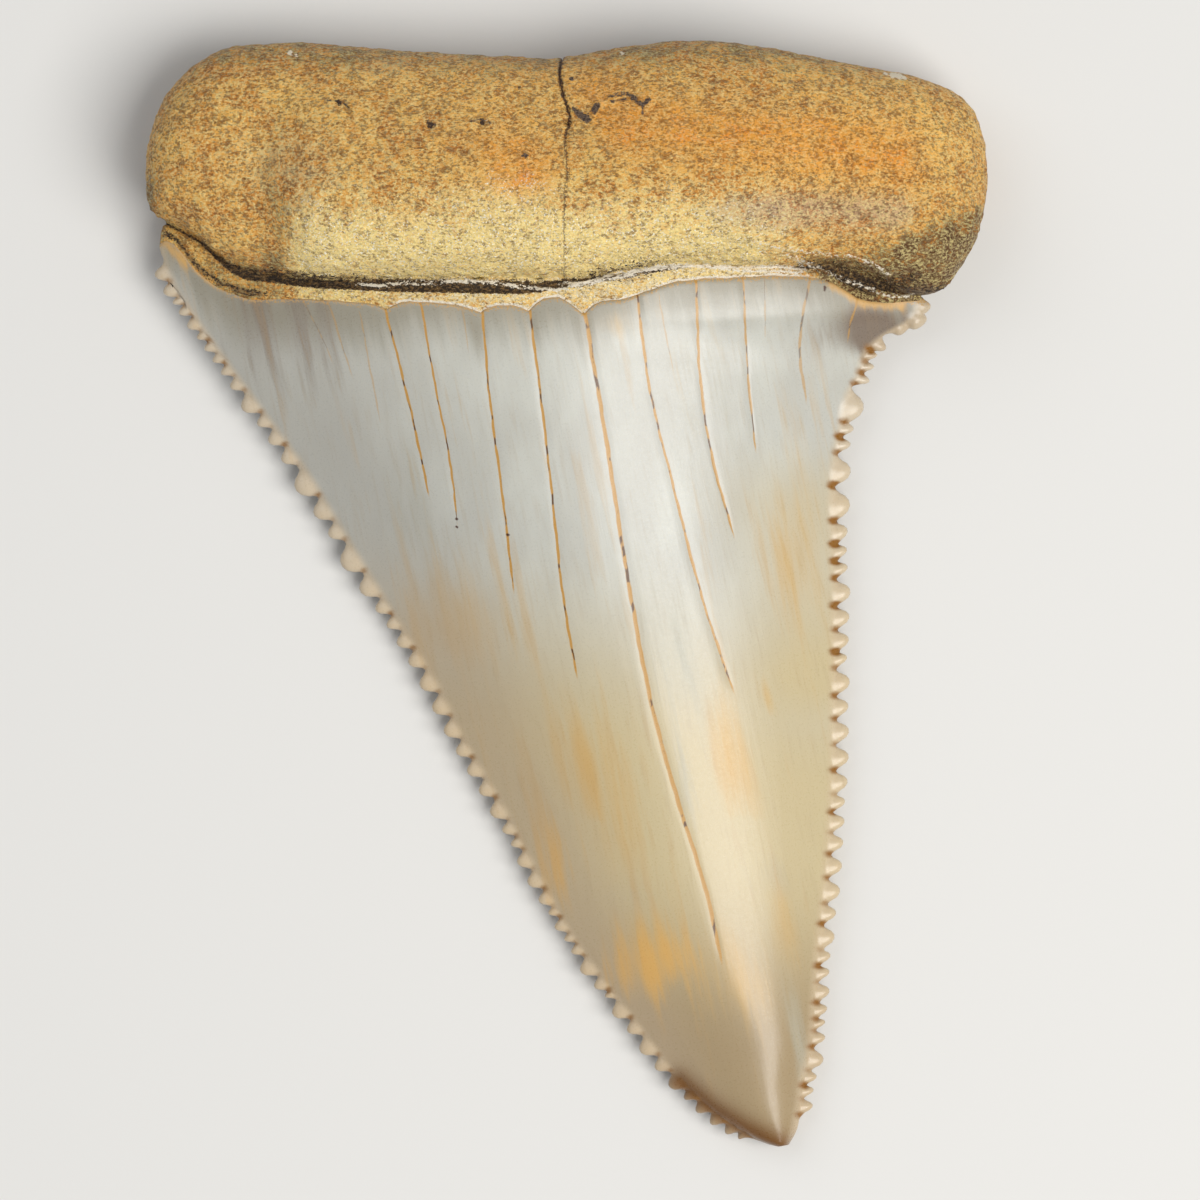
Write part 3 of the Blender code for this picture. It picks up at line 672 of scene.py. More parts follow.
def lobe_template():
    """Points and faces of a unit egg whose wide end points to +X."""
    bm = bmesh.new()
    bmesh.ops.create_uvsphere(bm, u_segments=LOBE_SEGMENTS, v_segments=LOBE_RINGS, radius=1.0)
    points = np.array([vertex.co[:] for vertex in bm.verts])
    faces = [[vertex.index for vertex in face.verts] for face in bm.faces]
    bm.free()
    points[:, 1:] *= 1 + LOBE_LEAN * points[:, :1]
    return points, faces


def edge_path(edge, start, end):
    """Closely spaced points along a blade edge, and the length run at each."""
    levels = np.linspace(start, end, 600)
    path = np.column_stack((smooth_curve(edge, levels), levels))
    run = np.concatenate(([0.0], np.cumsum(np.linalg.norm(np.diff(path, axis=0), axis=1))))
    return path, run


def serration_row(edge, lengths, ends, reach_rule, outward):
    """Centre, radii and turn of each lobe of one edge, and the place of each notch."""
    path, run = edge_path(edge, *ends)
    borders = np.concatenate(([0.0], np.cumsum(lengths)))
    borders *= run[-1] / borders[-1]

    def point(at):
        return np.array([np.interp(at, run, path[:, i]) for i in (0, 1)])

    lobes, notches = [], []
    for start, end in zip(borders, borders[1:]):
        length = end - start
        place, ahead = point(start + LOBE_PLACE * length), point(end)
        along = (ahead - place) / np.linalg.norm(ahead - place)
        normal = outward * np.array((-along[1], along[0]))
        reach = reach_rule[0] + reach_rule[1] * length
        width = reach + 0.18 + 0.12 * length
        centre = place + normal * (reach - width)
        height = float(smooth_curve(EDGE_HEIGHT, place[1]))
        thickness = LOBE_THICKNESS[0] + LOBE_THICKNESS[1] * length
        turn = math.atan2(along[1], along[0]) + outward * LOBE_TILT
        lobes.append(((*centre, height), (LOBE_HALF_LENGTH * length, width, thickness), turn))
        notches.append((*ahead, *(-normal)))
    return lobes, notches


def all_serrations():
    """Every lobe in order along the edges, and every notch with its inward direction."""
    left, left_notches = serration_row(LEFT_EDGE, LEFT_LOBES, LEFT_LOBE_RANGE, LEFT_REACH, -1)
    right, right_notches = serration_row(RIGHT_EDGE, RIGHT_LOBES, RIGHT_LOBE_RANGE, RIGHT_REACH, 1)
    shoulder = [
        ((x, y, float(smooth_curve(EDGE_HEIGHT, y))), (radius, radius, 0.8 * radius), math.pi)
        for x, y, radius in SHOULDER_LOBES
    ]
    return (left, right, shoulder), (left_notches, right_notches)


def lobe_object(name, lobes):
    """One object of lobes that don't meet each other."""
    template, faces = lobe_template()
    points, all_faces = [], []
    for centre, radii, turn in lobes:
        placed = np.array(Matrix.Rotation(turn, 3, "Z")) @ np.diag(radii)
        all_faces += [[i + len(points) * len(template) for i in face] for face in faces]
        points.append(template @ placed.T + centre)
    vertices = np.vstack(points) * MM
    return mesh_object(name, vertices, all_faces, [LOBE_SLOT] * len(all_faces))


def join(target, other):
    """Merge another closed object into the target."""
    modifier = target.modifiers.new(other.name, "BOOLEAN")
    modifier.operation = "UNION"
    modifier.solver = "MANIFOLD"
    modifier.object = other
    evaluated = target.evaluated_get(bpy.context.evaluated_depsgraph_get())
    mesh = bpy.data.meshes.new_from_object(evaluated)
    target.modifiers.clear()
    old = target.data
    target.data = mesh
    bpy.data.meshes.remove(old)
    bpy.data.objects.remove(other)


def tooth_body():
    """Root, crown and lobes as one closed surface, and the notches between the lobes."""
    tooth = root_body()
    join(tooth, crown_body())
    rows, notches = all_serrations()
    left, right, shoulder = rows
    join(tooth, lobe_object("even_lobes", left[::2] + right[::2]))
    join(tooth, lobe_object("odd_lobes", left[1::2] + right[1::2]))
    for lobe in shoulder:
        join(tooth, lobe_object("shoulder_lobe", [lobe]))
    tooth.name = tooth.data.name = "tooth"
    return tooth, notches


class Surface:
    """The tooth's vertices in millimetres, with what the finish needs to know about each."""

    def __init__(self, mesh):
        self.mesh = mesh
        count = len(mesh.vertices)
        self.co = np.empty(count * 3)
        mesh.vertices.foreach_get("co", self.co)
        self.co = self.co.reshape(-1, 3) / MM
        self.edges = np.empty(len(mesh.edges) * 2, dtype=np.int64)
        mesh.edges.foreach_get("vertices", self.edges)
        self.edges = self.edges.reshape(-1, 2)
        slots = np.empty(len(mesh.polygons), dtype=np.int64)
        mesh.polygons.foreach_get("material_index", slots)
        sizes = np.empty(len(mesh.polygons), dtype=np.int64)
        mesh.polygons.foreach_get("loop_total", sizes)
        corners = np.empty(len(mesh.loops), dtype=np.int64)
        mesh.loops.foreach_get("vertex_index", corners)
        corner_slots = np.repeat(slots, sizes)
        faces_at = np.maximum(1, np.bincount(corners, minlength=count))
        self.share = [
            np.bincount(corners[corner_slots == slot], minlength=count) / faces_at
            for slot in range(len(SLOT_MATERIALS))
        ]
        self.bone = self.share[ROOT_SLOT] + self.share[NECK_SLOT]

    def normals(self):
        """Unit normals of the vertices, pointing out."""
        found = np.empty(len(self.co) * 3)
        self.write()
        self.mesh.vertex_normals.foreach_get("vector", found)
        return found.reshape(-1, 3)

    def write(self):
        """Put the moved vertices back in the mesh."""
        self.mesh.vertices.foreach_set("co", (self.co * MM).ravel())
        self.mesh.update()

    def relax(self, weight, rounds):
        """Draw vertices towards their neighbours' middle, as far as the weight says."""
        count = len(self.co)
        a, b = self.edges.T
        degree = np.maximum(1, np.bincount(a, minlength=count) + np.bincount(b, minlength=count))
        for _ in range(rounds):
            total = np.stack([
                np.bincount(a, self.co[b, i], count) + np.bincount(b, self.co[a, i], count)
                for i in range(3)
            ], 1)
            self.co += weight[:, None] * (total / degree[:, None] - self.co)

    def store(self, name, values):
        """Keep a value for each vertex, which the materials read by name."""
        kept = self.mesh.attributes.new(name, "FLOAT", "POINT")
        kept.data.foreach_set("value", np.asarray(values, dtype=np.float32))


def blend_seams(surface):
    """Round the creases where lobes meet the blade and each other."""
    lobe = surface.share[LOBE_SLOT]
    seam = np.flatnonzero((lobe > 0) & (lobe < 1))
    tree = kdtree.KDTree(len(seam))
    for i, vertex in enumerate(seam):
        tree.insert(surface.co[vertex], i)
    tree.balance()
    weight = np.zeros(len(surface.co))
    near_edge = np.flatnonzero((surface.co[:, 2] < 4.5) & (surface.co[:, 1] < 21.5))
    for vertex in near_edge:
        weight[vertex] = bump(tree.find(surface.co[vertex])[2], SEAM_REACH)
    surface.relax(0.6 * weight, SEAM_ROUNDS)


def relief_root(surface):
    """Lumps, grain, pits, folds and the broken rim of the root."""
    co, xy = surface.co, surface.co[:, :2]
    own, neck = surface.share[ROOT_SLOT], surface.share[NECK_SLOT]
    bulk = own * smooth_step(17.6, 18.4, co[:, 1])
    inner = smooth_step(1.0, 3.0, co[:, 2])
    touched = np.flatnonzero(surface.bone > 0)
    grain = np.zeros(len(co))
    for wavelength, height, octaves in ROOT_WAVES:
        grain[touched] += height * rough(co[touched], wavelength, octaves, wavelength)
    move = grain * (bulk + 0.8 * neck)
    x, y, z = co.T
    slanted = np.column_stack((0.30 * (x - 1.3 * y), 0.08 * (x + y), 0.2 * z))
    wrinkled = np.zeros(len(co))
    wrinkled[touched] = rough(slanted[touched], 0.22, 2, 4.0)
    right_end = smooth_step(11.0, 15.5, x) * (1 - smooth_step(22.5, 26.0, y))
    move += 0.13 * wrinkled * bulk * right_end
    upright = np.column_stack((x, 0.15 * y, 0.15 * z))
    crease = own * bump(x + 16.3, 1.0) * band(y, 19.4, 20.2, 24.0, 26.5)
    creased = np.flatnonzero(crease > 0.02)
    move[creased] += 0.16 * crease[creased] * rough(upright[creased], 0.35, 2, 6.0)
    over = y - smooth_curve(GROOVE_LINE, x)
    lip = own * inner * band(over, 0.0, 0.25, 0.6, 1.5)
    lipped = np.flatnonzero(lip > 0.02)
    move[lipped] += 0.22 * lip[lipped] * rough(co[lipped], 0.45, 2, 8.0)
    for pit_x, pit_y, radius, depth in PITS:
        move -= depth * bump(spot_distance(xy, pit_x, pit_y), radius) * inner * bulk
    for radius, path in DEPOSITS:
        move += 0.04 * bump(path_distance(xy, path), radius + 0.1) * inner * bulk
    for path, half_width, height in FOLDS:
        move += height * bump(path_distance(xy, path), half_width) * inner * surface.bone
    for path in (NECK_RIDGE, WHITE_LINE):
        move += 0.10 * bump(path_distance(xy, path), 0.12) * inner * neck
    surface.co += surface.normals() * move[:, None]


def keep_in_box(surface, box):
    """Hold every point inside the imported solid's box."""
    low, high = np.array(box[0]) / MM, np.array(box[1]) / MM
    surface.co = np.clip(surface.co, low, high)


def spots(xy, table):
    """How much of a row of round stains each point has."""
    return sum(strength * bump(spot_distance(xy, x, y), radius) for x, y, radius, strength in table)


def depth_inside(distances):
    """How far inside the nearest shape each point lies, from its depth in every one of them."""
    return np.max(list(distances), axis=0)


def store_root_marks(surface):
    """How much of each stain or tint every vertex of the root has, with the painted shade, highlight and
    glints among them.
    """
    xy = surface.co[:, :2]
    x, y, z = surface.co.T
    streak = band(x, 0.3, 3.0, 19.0, 23.0) * bump(y - 27.6 + 0.10 * x, 2.6)
    surface.store("root_rust", np.clip(0.85 * streak + spots(xy, RUST_SPOTS), 0, 1))
    # cream band along the root's lower part: cream colour and painted highlight
    foot = band(x, -17.5, -15.0, 9.0, 17.0) * bump(y - 19.6, 3.9)
    surface.store("root_cream_and_highlight", np.clip(foot + spots(xy, CREAM_SPOTS), 0, 1))
    surface.store("root_neck", surface.share[NECK_SLOT] * band(x, -12.0, -8.0, 13.0, 16.0))
    surface.store("root_grey", np.clip(
        0.55 * bump(spot_distance(xy * (0.8, 1.4), -8.4, 43.3), 1.5)
        + 0.85 * band(x, 6.0, 10.0, 19.0, 22.0) * bump(y - 22.3, 1.7)
        + 0.55 * bump(spot_distance(xy * (0.6, 1.0), -9.6, 24.6), 3.2), 0, 1))
    # brown stain with painted shade: darker along the top rim, at the left end, on the lower left lobe and
    # its crease, and at the lower right end
    surface.store("root_umber_and_shade", np.clip(
        band(x, 13.0, 15.5, 30.0, 31.0) * (1 - smooth_step(18.9, 20.6, y - 0.42 * np.maximum(0, x - 17.0)))
        + 0.75 * (1 - smooth_step(-24.5, -22.6, x)) * (1 - smooth_step(23.0, 27.0, y))
        + 0.55 * band(x, -22.6, -21.0, -16.6, -16.2) * (1 - smooth_step(18.6, 20.6, y))
        + 0.40 * bump(x + 16.9, 1.2) * band(y, 18.6, 19.6, 24.0, 26.5)
        + 0.60 * smooth_step(29.4, 31.8, y), 0, 1))
    # dark filling with painted shadow in the groove and painted shade in the folds
    surface.store("root_groove_stain_and_shade", groove_stain_and_shade(surface))
    middle = ROOT_TOP[CRACK_STATION][0] + smooth_curve(CRACK_WANDER, y)
    surface.store("crack_offset", np.clip(x - middle, -1, 1))
    surface.store("crack_width", smooth_curve(CRACK_WIDTH, y))
    # pale crust with painted glints along the neck and fold lips
    surface.store("root_crust_and_glint", crust_and_glints(surface))
    hidden = smooth_step(4.5, 3.0, z)
    for name, depth in (
        ("deposit_depth", depth_inside(radius - path_distance(xy, path) for radius, path in DEPOSITS)),
        ("pit_depth", depth_inside(0.7 * r - spot_distance(xy, x0, y0) for x0, y0, r, _ in PITS)),
        ("fleck_depth", depth_inside(r - spot_distance(xy, x0, y0) for x0, y0, r in FLECKS)),
    ):
        surface.store(name, np.clip(depth - hidden, -1, 1))


def groove_stain_and_shade(surface):
    """Dark brown filling and painted shadow in the groove between root and enamel, and painted shade in the
    folds at its ends.
    """
    xy = surface.co[:, :2]
    x, y = xy.T
    over = y - smooth_curve(GROOVE_LINE, x)
    width = smooth_curve(GROOVE_WIDTH, x)
    dark = surface.share[NECK_SLOT] * band(over, -0.12, 0.02, width, 1.4 * width + 0.04)
    fringe = surface.share[ROOT_SLOT] * (1 - smooth_step(0.8 * width, 1.6 * width + 0.08, over))
    dark = np.maximum(dark, 0.70 * fringe)
    speckled = band(x, -0.2, 1.0, 4.5, 7.5) * bump(over - 0.3, 0.55)
    dark = np.maximum(dark, 0.55 * speckled)
    for path, half_width, strength in FOLD_SHADE:
        dark = np.maximum(dark, strength * bump(path_distance(xy, path), half_width))
    beside = bump(y - enamel_line(x) - 0.38, 0.22) * surface.bone
    dark = np.maximum(dark, 0.8 * beside * band(x, -24.2, -23.6, -18.6, -16.5))
    return np.clip(dark, 0, 1)


def crust_and_glints(surface):
    """Pale crust and painted glints on the neck's ridge, on the enamel's rim and on the right fold's lips.
    """
    xy = surface.co[:, :2]
    x, y = xy.T
    rim = np.abs(y - enamel_line(x) - 0.04)
    white = 1.05 * bump(path_distance(xy, NECK_RIDGE), 0.10) * band(x, -13.5, -11.0, 20.0, 21.0)
    white = np.maximum(white, 0.95 * bump(path_distance(xy, WHITE_LINE), 0.09))
    white = np.maximum(white, 1.1 * bump(rim, 0.09) * band(x, -11.5, -9.0, 13.0, 15.0))
    for path, strength in PALE_AND_LIT_LIPS:
        white = np.maximum(white, strength * bump(path_distance(xy, path), 0.13))
    return np.clip(white, 0, 1)


def patches(xy, table):
    """How much of a row of tints each point has; each patch follows the blade's flow."""
    total = np.zeros(len(xy))
    for patch in table:
        along = xy[:, 1] - patch.y
        across = xy[:, 0] - patch.x + FLOW_LEAN * along
        along = np.where(along > 0, 0.8 * along, along)
        shape = np.exp(-((across / patch.half_width) ** 2) - (along / patch.half_length) ** 2)
        total += patch.strength * shape * smooth_step(patch.end, patch.end + 0.5, xy[:, 1])
    return np.clip(total, 0, 1)


def store_enamel_marks(surface, notches):
    """How much of each stain or tint every vertex of the enamel has, and how much painted shade it takes
    under the root.
    """
    xy = surface.co[:, :2]
    x, y, z = surface.co.T
    left, right = edges_at(y)
    share = np.clip((x - left) / (right - left), 0, 1)
    surface.store("enamel_below", np.clip(enamel_line(x) - y + 6 * smooth_step(1.4, 0.6, z), 0, 6))
    surface.store("enamel_cream", np.clip(
        smooth_step(4.0, -10.0, y + 3.5 * (share - 0.5))
        + 0.6 * smooth_step(0.68, 0.95, share) * band(y, -8.0, -4.0, 5.0, 10.0), 0, 1))
    surface.store("enamel_amber", patches(xy, AMBER_PATCHES))
    surface.store("enamel_grey", patches(xy, GREY_PATCHES))
    surface.store("enamel_flank", smooth_step(0.42, 0.04, share))
    # smoke tint with painted shade: upper left flank and the shoulder under the root's right end
    surface.store("enamel_smoke_shade", np.clip(
        0.48 * band(x, -21.5, -19.5, -14.5, -10.0) * smooth_step(9.0, 16.0, y)
        + 1.3 * bump(spot_distance(xy * (0.8, 1.3), 14.2, 20.3), 2.1), 0, 1))
    surface.store("enamel_rim", np.clip(1 - np.minimum(x - left, right - x) / 0.9, 0, 1))
    surface.store("enamel_ochre", np.clip(
        bump(path_distance(xy, OCHRE_RIGHT), 0.42)
        + 0.8 * bump(path_distance(xy, OCHRE_LEFT), 0.28)
        + 0.75 * bump(spot_distance(xy * (0.7, 1.0), 3.2, -21.6), 2.2)
        + 0.45 * bump(spot_distance(xy * (1.0, 0.5), -0.2, -7.8), 1.5), 0, 1))
    surface.store("tip_stain", bump(path_distance(xy, TIP_STAIN), 0.8))
    surface.store("enamel_tip", smooth_step(-15.0, -27.0, y))
    dots = depth_inside(radius - spot_distance(xy, x0, y0) for x0, y0, radius in DOTS)
    surface.store("dot_depth", np.clip(dots - smooth_step(2.4, 1.8, z), -1, 1))
    surface.store("notch_stain", notch_stain(xy, notches))
    reach, width, tone = split_marks(surface)
    surface.store("split_distance", reach)
    surface.store("split_width", width)
    surface.store("split_tone", tone)


def notch_stain(xy, notches):
    """Brown stain that runs a little into the enamel from each notch."""
    stain = np.zeros(len(xy))
    for (base, depth_in, gain), side in zip(((0.65, 0.40, 0.0), (0.85, 0.50, 0.50)), notches):
        for index, (x, y, inward_x, inward_y) in enumerate(side):
            inward = np.array((inward_x, inward_y))
            offset = xy - (x, y)
            depth = offset @ inward
            aside = offset @ np.array((-inward_y, inward_x))
            strength = base * (0.75 + 0.25 * math.sin(2.7 * index + 1.3 * base))
            strength += gain * bump(y - 3.5, 7.5)
            spread = np.where(depth > 0, depth / depth_in, depth / 0.35)
            stain = np.maximum(stain, strength * np.exp(-spread ** 2 - (aside / 0.27) ** 2))
    return np.clip(stain, 0, 1)


def split_marks(surface):
    """Distance to the nearest split in the enamel, and that split's half width and colour there."""
    x, y, z = surface.co.T
    inner = z > smooth_curve(EDGE_HEIGHT, y)
    reach = np.full(len(x), SPLIT_REACH)
    width, tone = np.zeros(len(x)), np.zeros(len(x))
    for index, split in enumerate(SPLITS):
        strength = split_strength(split, y)
        middle = split_place(index, y) + split_wander(index, y) * strength
        distance = np.abs(x - middle)
        near = inner & (distance < 2 * SPLIT_REACH) & (strength > 0)
        near = near & (distance < np.where(width > 0, reach, np.inf))
        reach = np.where(near, np.minimum(distance, SPLIT_REACH), reach)
        width = np.where(near, split.half_width * (0.35 + 0.65 * strength), width)
        tone = np.where(near, split.tone * smooth_step(0.0, 0.35, strength), tone)
    return reach, width, tone


def linear(red, green, blue):
    """A colour given in everyday 0 to 255 steps as the shader's linear values."""
    steps = np.array((red, green, blue)) / 255
    return tuple(np.where(steps > 0.04045, ((steps + 0.055) / 1.055) ** 2.4, steps / 12.92)) + (1.0,)


class Shader:
    """A material with one Principled shader, and short calls for the nodes that feed it."""

    def __init__(self, name):
        self.material = bpy.data.materials.new(name)
        self.material.use_nodes = True
        self.nodes = self.material.node_tree.nodes
        self.links = self.material.node_tree.links
        self.principled = self.nodes["Principled BSDF"]
        place = self.nodes.new("ShaderNodeTexCoord").outputs["Object"]
        self.place = self.vector("SCALE", place, 1 / MM)
        self.colour = None

    def connect(self, value, socket):
        """Set a socket to a constant or link it to another node's output."""
        if isinstance(value, bpy.types.NodeSocket):
            self.links.new(value, socket)
        else:
            socket.default_value = value

    def set(self, name, value):
        """Feed one input of the Principled shader."""
        self.connect(value, self.principled.inputs[name])

    def vector(self, operation, vector, other):
        """Scale a vector by a number, or multiply it by another vector."""
        node = self.nodes.new("ShaderNodeVectorMath")
        node.operation = operation
        self.connect(vector, node.inputs[0])
        self.connect(other, node.inputs["Scale"] if operation == "SCALE" else node.inputs[1])
        return node.outputs[0]

    def noise(self, scale, detail, roughness, stretch=(1, 1, 1), place=None):
        """Noise with this many lumps a millimetre."""
        node = self.nodes.new("ShaderNodeTexNoise")
        self.links.new(self.vector("MULTIPLY", place or self.place, stretch), node.inputs["Vector"])
        node.inputs["Scale"].default_value = scale
        node.inputs["Detail"].default_value = detail
        node.inputs["Roughness"].default_value = roughness
        return node.outputs["Fac"]

    def mark(self, name):
        """A value that the mesh keeps for each vertex."""
        node = self.nodes.new("ShaderNodeAttribute")
        node.attribute_name = name
        return node.outputs["Fac"]

    def math(self, operation, first, second=0.0):
        """A number worked out from one or two others."""
        node = self.nodes.new("ShaderNodeMath")
        node.operation = operation
        self.connect(first, node.inputs[0])
        self.connect(second, node.inputs[1])
        return node.outputs[0]

    def plus(self, first, second):
        """The sum of two numbers."""
        return self.math("ADD", first, second)

    def times(self, first, second):
        """The product of two numbers."""
        return self.math("MULTIPLY", first, second)

    def swing(self, value, reach):
        """A noise spread out to run from minus the reach to plus the reach."""
        return self.ramp(value, NOISE_LOW, NOISE_HIGH, -reach, reach)

    def ramp(self, value, low, high, from_value=0.0, to_value=1.0):
        """A soft rise from one value to another as the input goes from low to high."""
        node = self.nodes.new("ShaderNodeMapRange")
        node.interpolation_type = "SMOOTHSTEP"
        for name, setting in (("Value", value), ("From Min", low), ("From Max", high),
                              ("To Min", from_value), ("To Max", to_value)):
            self.connect(setting, node.inputs[name])
        return node.outputs["Result"]

    def lay(self, factor, colour):
        """Lay a colour over all that the surface has so far."""
        self.colour = self.mix(factor, self.colour, colour)

    def mix(self, factor, first, second):
        """One colour over another, as far as the factor says."""
        node = self.nodes.new("ShaderNodeMix")
        node.data_type = "RGBA"
        self.connect(factor, node.inputs[0])
        for colour, place in ((first, 6), (second, 7)):
            self.connect(linear(*colour) if isinstance(colour, tuple) else colour, node.inputs[place])
        return node.outputs[2]

    def relief(self, height, distance, below=None):
        """Fine relief of this height in millimetres, on top of another relief."""
        node = self.nodes.new("ShaderNodeBump")
        self.links.new(height, node.inputs["Height"])
        node.inputs["Distance"].default_value = distance * MM
        if below is not None:
            self.links.new(below, node.inputs["Normal"])
        return node.outputs["Normal"]


def root_material():
    """Grainy ochre bone with rust, cream and grey areas, dark grooves and pale crusts; painted shade darkens
    its grooves, folds, rim and ends, and painted highlight and glints lighten its lower band.
    """
    shader = Shader("root_bone")
    grain = shader.noise(5.4, 3.0, 0.75, (0.75, 1.12, 1.0))
    light_grain = shader.noise(6.2, 3.0, 0.75, (0.78, 1.1, 0.9))
    clump = shader.noise(1.7, 2.0, 0.5)
    fine = shader.noise(9.0, 2.0, 0.6)
    patch = shader.noise(0.35, 4.0, 0.6)
    mottle = shader.noise(1.0, 4.0, 0.65)

    def area(name, low, high, reach=0.22):
        shifted = shader.plus(shader.mark(name), shader.swing(mottle, reach))
        return shader.ramp(shader.plus(shifted, shader.swing(light_grain, reach)), low, high)

    def ragged(name, reach, low, high):
        return shader.ramp(shader.plus(shader.mark(name), shader.swing(grain, reach)), low, high)

    def crisp(name, reach):
        return ragged(name, reach, -0.02, 0.03)

    clouds = shader.ramp(patch, 0.35, 0.65, 0.0, 0.45)
    tone = shader.plus(clouds, shader.ramp(mottle, 0.38, 0.62, 0.0, 0.55))
    shader.colour = shader.mix(tone, ROOT_OCHRE, ROOT_SAND)
    # cream band with painted highlight
    shader.lay(area("root_cream_and_highlight", 0.10, 1.05), CREAM_AND_HIGHLIGHT)
    shader.lay(shader.times(area("root_grey", 0.20, 1.1), 0.80), ROOT_GREY)
    shader.lay(shader.times(area("root_rust", 0.15, 1.0, 0.32), 0.85), ROOT_RUST)
    shader.lay(shader.times(area("root_rust", 0.70, 1.25, 0.32), 0.80), ROOT_ORANGE)
    # umber stain with painted shade of the root's rim and ends
    shader.lay(area("root_umber_and_shade", 0.20, 0.95, 0.34), UMBER_AND_SHADE)
    shader.lay(shader.ramp(light_grain, 0.42, 0.62), shader.mix(0.64, shader.colour, GRAIN_PALE))
    calm = shader.times(shader.mark("root_cream_and_highlight"), 0.045)
    level = shader.plus(shader.plus(grain, calm), shader.swing(clump, 0.07))
    shader.lay(shader.ramp(level, 0.56, 0.37), shader.mix(0.66, shader.colour, GRAIN_DARK))
    shader.lay(shader.times(area("root_rust", 0.3, 1.0), 0.22), RUST_VEIL)
    pale_grain = shader.ramp(light_grain, 0.46, 0.60, 0.0, 0.75)
    shader.lay(shader.times(shader.mark("root_neck"), pale_grain), NECK_CRUST)
    # painted glints: near-white specks over the cream band
    shader.lay(shader.times(shader.ramp(fine, 0.57, 0.65), area("root_cream_and_highlight", 0.3, 1.0)), PAINTED_GLINT)
    # painted shadow and dark filling of the groove and folds
    groove_shadow_and_filling = shader.mix(shader.ramp(light_grain, 0.46, 0.62), GROOVE_SHADOW_AND_FILL, GROOVE_BROWN)
    shader.lay(ragged("root_groove_stain_and_shade", 0.48, 0.44, 0.66), groove_shadow_and_filling)
    deposit = shader.mix(shader.ramp(fine, 0.4, 0.6), DEPOSIT_DARK, DEPOSIT_PALE)
    shader.lay(crisp("deposit_depth", 0.07), deposit)
    shader.lay(crisp("pit_depth", 0.08), PIT_BROWN)
    offset = shader.plus(shader.mark("crack_offset"), shader.swing(grain, 0.10))
    from_crack = shader.math("ABSOLUTE", offset)
    width = shader.mark("crack_width")
    crack = shader.ramp(from_crack, shader.times(width, 1.4), shader.times(width, 0.5))
    shader.lay(shader.times(crack, shader.ramp(width, 0.03, 0.08, 0.65, 1.0)), CRACK_BROWN)
    # pale crust with painted glints
    shader.lay(ragged("root_crust_and_glint", 0.46, 0.46, 0.64), CRUST_AND_GLINT_WHITE)
    shader.lay(crisp("fleck_depth", 0.06), FLECK_WHITE)

    shader.set("Base Color", shader.colour)
    shader.set("Roughness", shader.ramp(light_grain, 0.40, 0.60, 0.72, 0.38))
    shader.set("Specular IOR Level", 0.5)
    relief = shader.relief(grain, 0.22)
    shader.set("Normal", shader.relief(light_grain, 0.12, relief))


def flow_place(shader):
    """A place that changes slowly along the blade's leaning flow and fast across it."""
    parts = shader.nodes.new("ShaderNodeSeparateXYZ")
    shader.links.new(shader.place, parts.inputs[0])
    x, y, z = parts.outputs
    flow = shader.nodes.new("ShaderNodeCombineXYZ")
    for index, value in enumerate((
        shader.plus(x, shader.times(y, FLOW_LEAN)), shader.times(y, 0.08), shader.times(z, 0.10),
    )):
        shader.links.new(value, flow.inputs[index])
    return flow.outputs[0]


